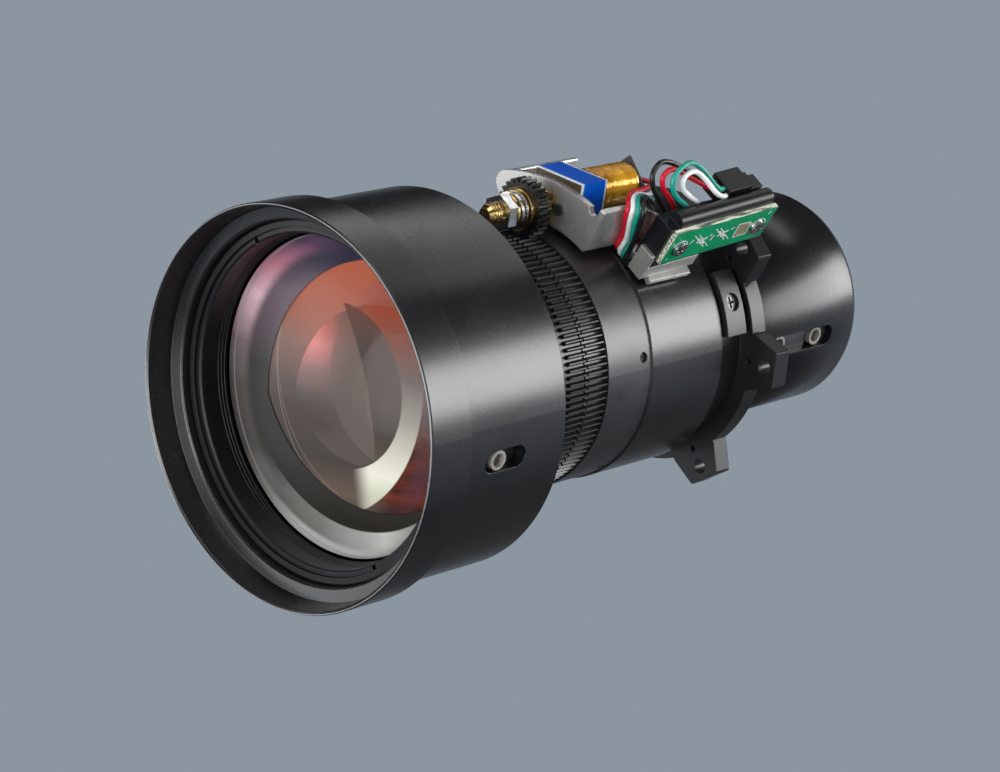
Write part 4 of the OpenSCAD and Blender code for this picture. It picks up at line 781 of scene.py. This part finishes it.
def ring_strokes(x, z, r, width, start, end, steps=30):
    out = []
    for i in range(steps):
        a = math.radians(start + (end - start) * i / steps)
        b = math.radians(start + (end - start) * (i + 1.06) / steps)
        out.append(stroke(x + r * math.cos(a), z + r * math.sin(a),
                          x + r * math.cos(b), z + r * math.sin(b), width))
    return out


# Two circuit symbols, the short marks between them, the hatched pad and the arcs at the screws
marks = []
for x, z in ((6.2, 13.6), (6.8, 22.2)):
    marks += [stroke(x + 3.3, z - 4.3, x - 3.3, z + 3.2, 0.28),
              stroke(x + 3.0, z - 2.2, x - 3.6, z + 5.2, 0.28),
              stroke(x + 1.4, z - 1.9, x - 1.3, z + 0.9, 0.85),
              stroke(x + 1.2, z - 0.2, x - 1.6, z + 2.4, 0.85),
              stroke(x - 0.6, z - 1.5, x + 0.8, z + 2.6, 0.55)]
marks += [stroke(6.0, 9.0, 7.7, 9.9, 0.32), stroke(5.1, 18.3, 7.1, 19.1, 0.36),
          stroke(7.3, 17.0, 8.0, 17.7, 0.5), stroke(7.5, 25.9, 7.9, 26.5, 0.4),
          stroke(7.9, 26.6, 8.5, 26.9, 0.4)]
pad = [(3.3, 29.2), (9.0, 28.6), (8.6, 33.9), (3.5, 34.9)]
marks += [stroke(*pad[i], *pad[(i + 1) % 4], 0.28) for i in range(4)]
marks += ring_strokes(*FRONT_SCREW, 2.95, 0.3, -70, 110)
marks += ring_strokes(*REAR_SCREW, 3.25, 0.24, -60, 130)
marks += [stroke(1.2, 2.2, 1.9, 2.0, 0.3), stroke(10.2, 40.6, 11.4, 41.4, 0.35)]
print_object("board_marks", marks, "white", "lead_white")
print_object("board_pad", [pad], "hatch", lift=0.03)
print_object("board_front_pad", ring_strokes(*FRONT_SCREW, 2.35, 0.8, 0, 360), "holder", "holder_black", 0.04)
print_object("board_rear_pad", ring_strokes(*REAR_SCREW, 2.5, 0.9, 0, 360), "solder", "screw_bright", 0.04)


def edge_strip(name, *lines):
    """A skin over one cut edge of the board, between two lines that run along that edge."""
    bottom, top = EDGE_LEVELS
    verts = []
    for start, end in lines:
        verts += [board_point(*start, bottom), board_point(*end, bottom),
                  board_point(*end, top), board_point(*start, top)]
    faces = [(0, 1, 2, 3), (4, 7, 6, 5), (0, 4, 5, 1), (1, 5, 6, 2), (2, 6, 7, 3), (3, 7, 4, 0)]
    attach(mesh_object(name, verts, faces, MATS["laminate"], smooth=False), BARREL)


skin_top = BOARD_WIDTH + EDGE_SKIN
edge_strip("board_top_edge", ((BOARD_WIDTH, 0.0), (BOARD_WIDTH, BOARD_LENGTH)),
           ((skin_top, 0.0), (skin_top, BOARD_LENGTH)))
edge_strip("board_front_edge", ((0.0, -EDGE_SKIN), (BOARD_WIDTH, -EDGE_SKIN)),
           ((0.0, 0.0), (BOARD_WIDTH, 0.0)))


# Raised rim of the bracket's far wall

# Outline of the rim as height and side step from the shaft's plane, and its two ends
WALL_RIM = [(49.5, -16.95), (49.5, -15.45), (51.9, -15.45), (52.3, -15.7), (52.3, -16.7),
            (51.9, -16.95)]
WALL_ENDS = (0.1, 30.9)


def drive_point(h, t, back):
    """A point given by height and side step at the shaft's clock angle, and depth behind the plate."""
    c, s = math.cos(SHAFT_CLOCK), math.sin(SHAFT_CLOCK)
    return Vector((t * c + h * s, BRACKET_Y / MM + back, -t * s + h * c)) * MM


wall_verts = [drive_point(h, t, back) for back in WALL_ENDS for h, t in WALL_RIM]
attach(mesh_object("bracket_wall_rim", wall_verts, prism_faces(len(WALL_RIM)),
                            MATS["lug_edge"], smooth=False), BARREL)


# Rear barrel with its roller slots open to the outside

SLOT_CLOCK = 100.5
SLOT_HALF = 3.2
SLOT_FRONT, SLOT_BACK = 12.3, 44.6
SLOT_REACH = (31.6, 35.6)
ARC_STEPS = 12


def slot_cutter(clock):
    """A prism with round ends through the barrel's wall at a clock angle."""
    outline = []
    for centre, start in ((SLOT_BACK - SLOT_HALF, -90), (SLOT_FRONT + SLOT_HALF, 90)):
        for i in range(ARC_STEPS + 1):
            a = math.radians(start + 180 * i / ARC_STEPS)
            outline.append((centre + SLOT_HALF * math.cos(a), SLOT_HALF * math.sin(a)))
    c, s = math.cos(math.radians(clock)), math.sin(math.radians(clock))
    verts = [Vector((r * s + w * c, y, r * c - w * s)) * MM for r in SLOT_REACH for y, w in outline]
    cutter = mesh_object("slot_cutter", verts, prism_faces(len(outline)), MATS["rear"], smooth=False)
    tidy = bmesh.new()
    tidy.from_mesh(cutter.data)
    bmesh.ops.recalc_face_normals(tidy, faces=tidy.faces)
    tidy.to_mesh(cutter.data)
    tidy.free()
    return cutter


def open_rear_barrel():
    """The barrel's own mesh, copied and cut through where the CAD leaves a thin skin."""
    source = NODES["rear_barrel"]
    shell = bpy.data.objects.new("rear_barrel_open", source.data.copy())
    shell.matrix_world = source.matrix_world.copy()
    bpy.context.scene.collection.objects.link(shell)
    cutters = [slot_cutter(SLOT_CLOCK + third) for third in (0, 120, 240)]
    for cutter in cutters:
        cut = shell.modifiers.new("cut", "BOOLEAN")
        cut.operation, cut.solver, cut.object = "DIFFERENCE", "EXACT", cutter
    bpy.context.view_layer.update()
    seen = shell.evaluated_get(bpy.context.evaluated_depsgraph_get())
    mesh = bpy.data.meshes.new_from_object(seen)
    shell.modifiers.clear()
    shell.data = mesh
    for cutter in cutters:
        bpy.data.objects.remove(cutter)
    mesh.materials.clear()
    mesh.materials.append(MATS["rear"])
    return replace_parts(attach(shell, BARREL), "rear_barrel")


open_rear_barrel()


# Painted highlight: a grey tube along the edge of the hood's rim

LIP_R, RIM_HIGHLIGHT_R = 57.6, 0.2


def lip_point(degrees):
    turn = math.radians(degrees)
    return Vector((LIP_R * math.sin(turn), RIM_Y + RIM_HIGHLIGHT_R, LIP_R * math.cos(turn))) * MM


# One step past the full turn, so that the two ends lie inside each other
rim_edge = [lip_point(2 * k) for k in range(182)]
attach(tube("rim_edge", rim_edge, RIM_HIGHLIGHT_R * MM, MATS["rim"], 8), FRONT)


# Studio

BACKDROP = srgb(140, 150, 160)
DIM = (0.09, 0.09, 0.095)
DARK = (0.03, 0.03, 0.033)
# Height of the view direction, from -1 straight down to 1 straight up, and the colour there
SKY = ((-0.62, DIM), (-0.44, BACKDROP), (0.02, BACKDROP), (0.14, DARK))
LAMP_TARGET = Vector((0.0, -0.06, 0.0))


def lamp(name, direction, distance, width, height, radiance):
    """A soft box that faces the part. Its radiance is the same whatever its size."""
    data = bpy.data.lights.new(name, "AREA")
    data.shape = "RECTANGLE"
    data.size, data.size_y = width, height
    data.energy = radiance * math.pi * width * height
    lamp_object = bpy.data.objects.new(name, data)
    way = Vector(direction).normalized()
    lamp_object.location = LAMP_TARGET + way * distance
    lamp_object.rotation_mode = "QUATERNION"
    lamp_object.rotation_quaternion = (-way).to_track_quat("-Z", "Y")
    bpy.context.scene.collection.objects.link(lamp_object)


def make_world():
    """Curved backdrop: an even grey band at and below eye level, dark above, dim below."""
    world = bpy.data.worlds.new("studio")
    bpy.context.scene.world = world
    world.use_nodes = True
    tree = world.node_tree
    tree.nodes.clear()
    place = tree.nodes.new("ShaderNodeTexCoord")
    split = tree.nodes.new("ShaderNodeSeparateXYZ")
    tree.links.new(place.outputs["Generated"], split.inputs[0])
    fit = tree.nodes.new("ShaderNodeMapRange")
    fit.inputs["From Min"].default_value, fit.inputs["From Max"].default_value = -1.0, 1.0
    tree.links.new(split.outputs["Z"], fit.inputs["Value"])
    ramp = tree.nodes.new("ShaderNodeValToRGB")
    elements = ramp.color_ramp.elements
    while len(elements) < len(SKY):
        elements.new(0.5)
    for element, (height, colour) in zip(elements, SKY):
        element.position = (height + 1) / 2
        element.color = (*colour, 1.0)
    tree.links.new(fit.outputs["Result"], ramp.inputs[0])
    ground = tree.nodes.new("ShaderNodeBackground")
    tree.links.new(ramp.outputs["Color"], ground.inputs["Color"])
    out = tree.nodes.new("ShaderNodeOutputWorld")
    tree.links.new(ground.outputs[0], out.inputs[0])


def make_studio():
    make_world()
    lamp("side_softbox", (0.70, 0.70, 0.12), 1.3, 1.9, 0.50, 6.8)
    lamp("top_softbox", (-0.13, 0.70, 0.70), 1.4, 1.2, 0.16, 2.2)
    lamp("front_softbox", (-0.60, -0.76, 0.16), 1.5, 1.5, 1.1, 2.0)
    lamp("lens_softbox", (0.22, -0.96, 0.02), 1.6, 1.2, 1.2, 6.0)
    lamp("key_softbox", (0.25, -0.25, 0.93), 1.6, 1.3, 0.9, 2.2)
    lamp("fill_softbox", (0.90, -0.45, 0.25), 1.9, 1.0, 0.8, 0.9)


make_studio()


# Painted lens reflections, just behind the front lens's face: deeper in the glass they would render black

FACE_R = 75.0
OUTER_CAP, INNER_CAP = (22.33, 46.4, FACE_R), (22.4, 46.0, FACE_R)
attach(cap("front_lens_painted_reflection", *OUTER_CAP, MATS["ring_reflection_painted"]), FRONT)
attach(cap("second_lens_painted_reflection", *INNER_CAP, MATS["disc_reflection_painted"]), FRONT)
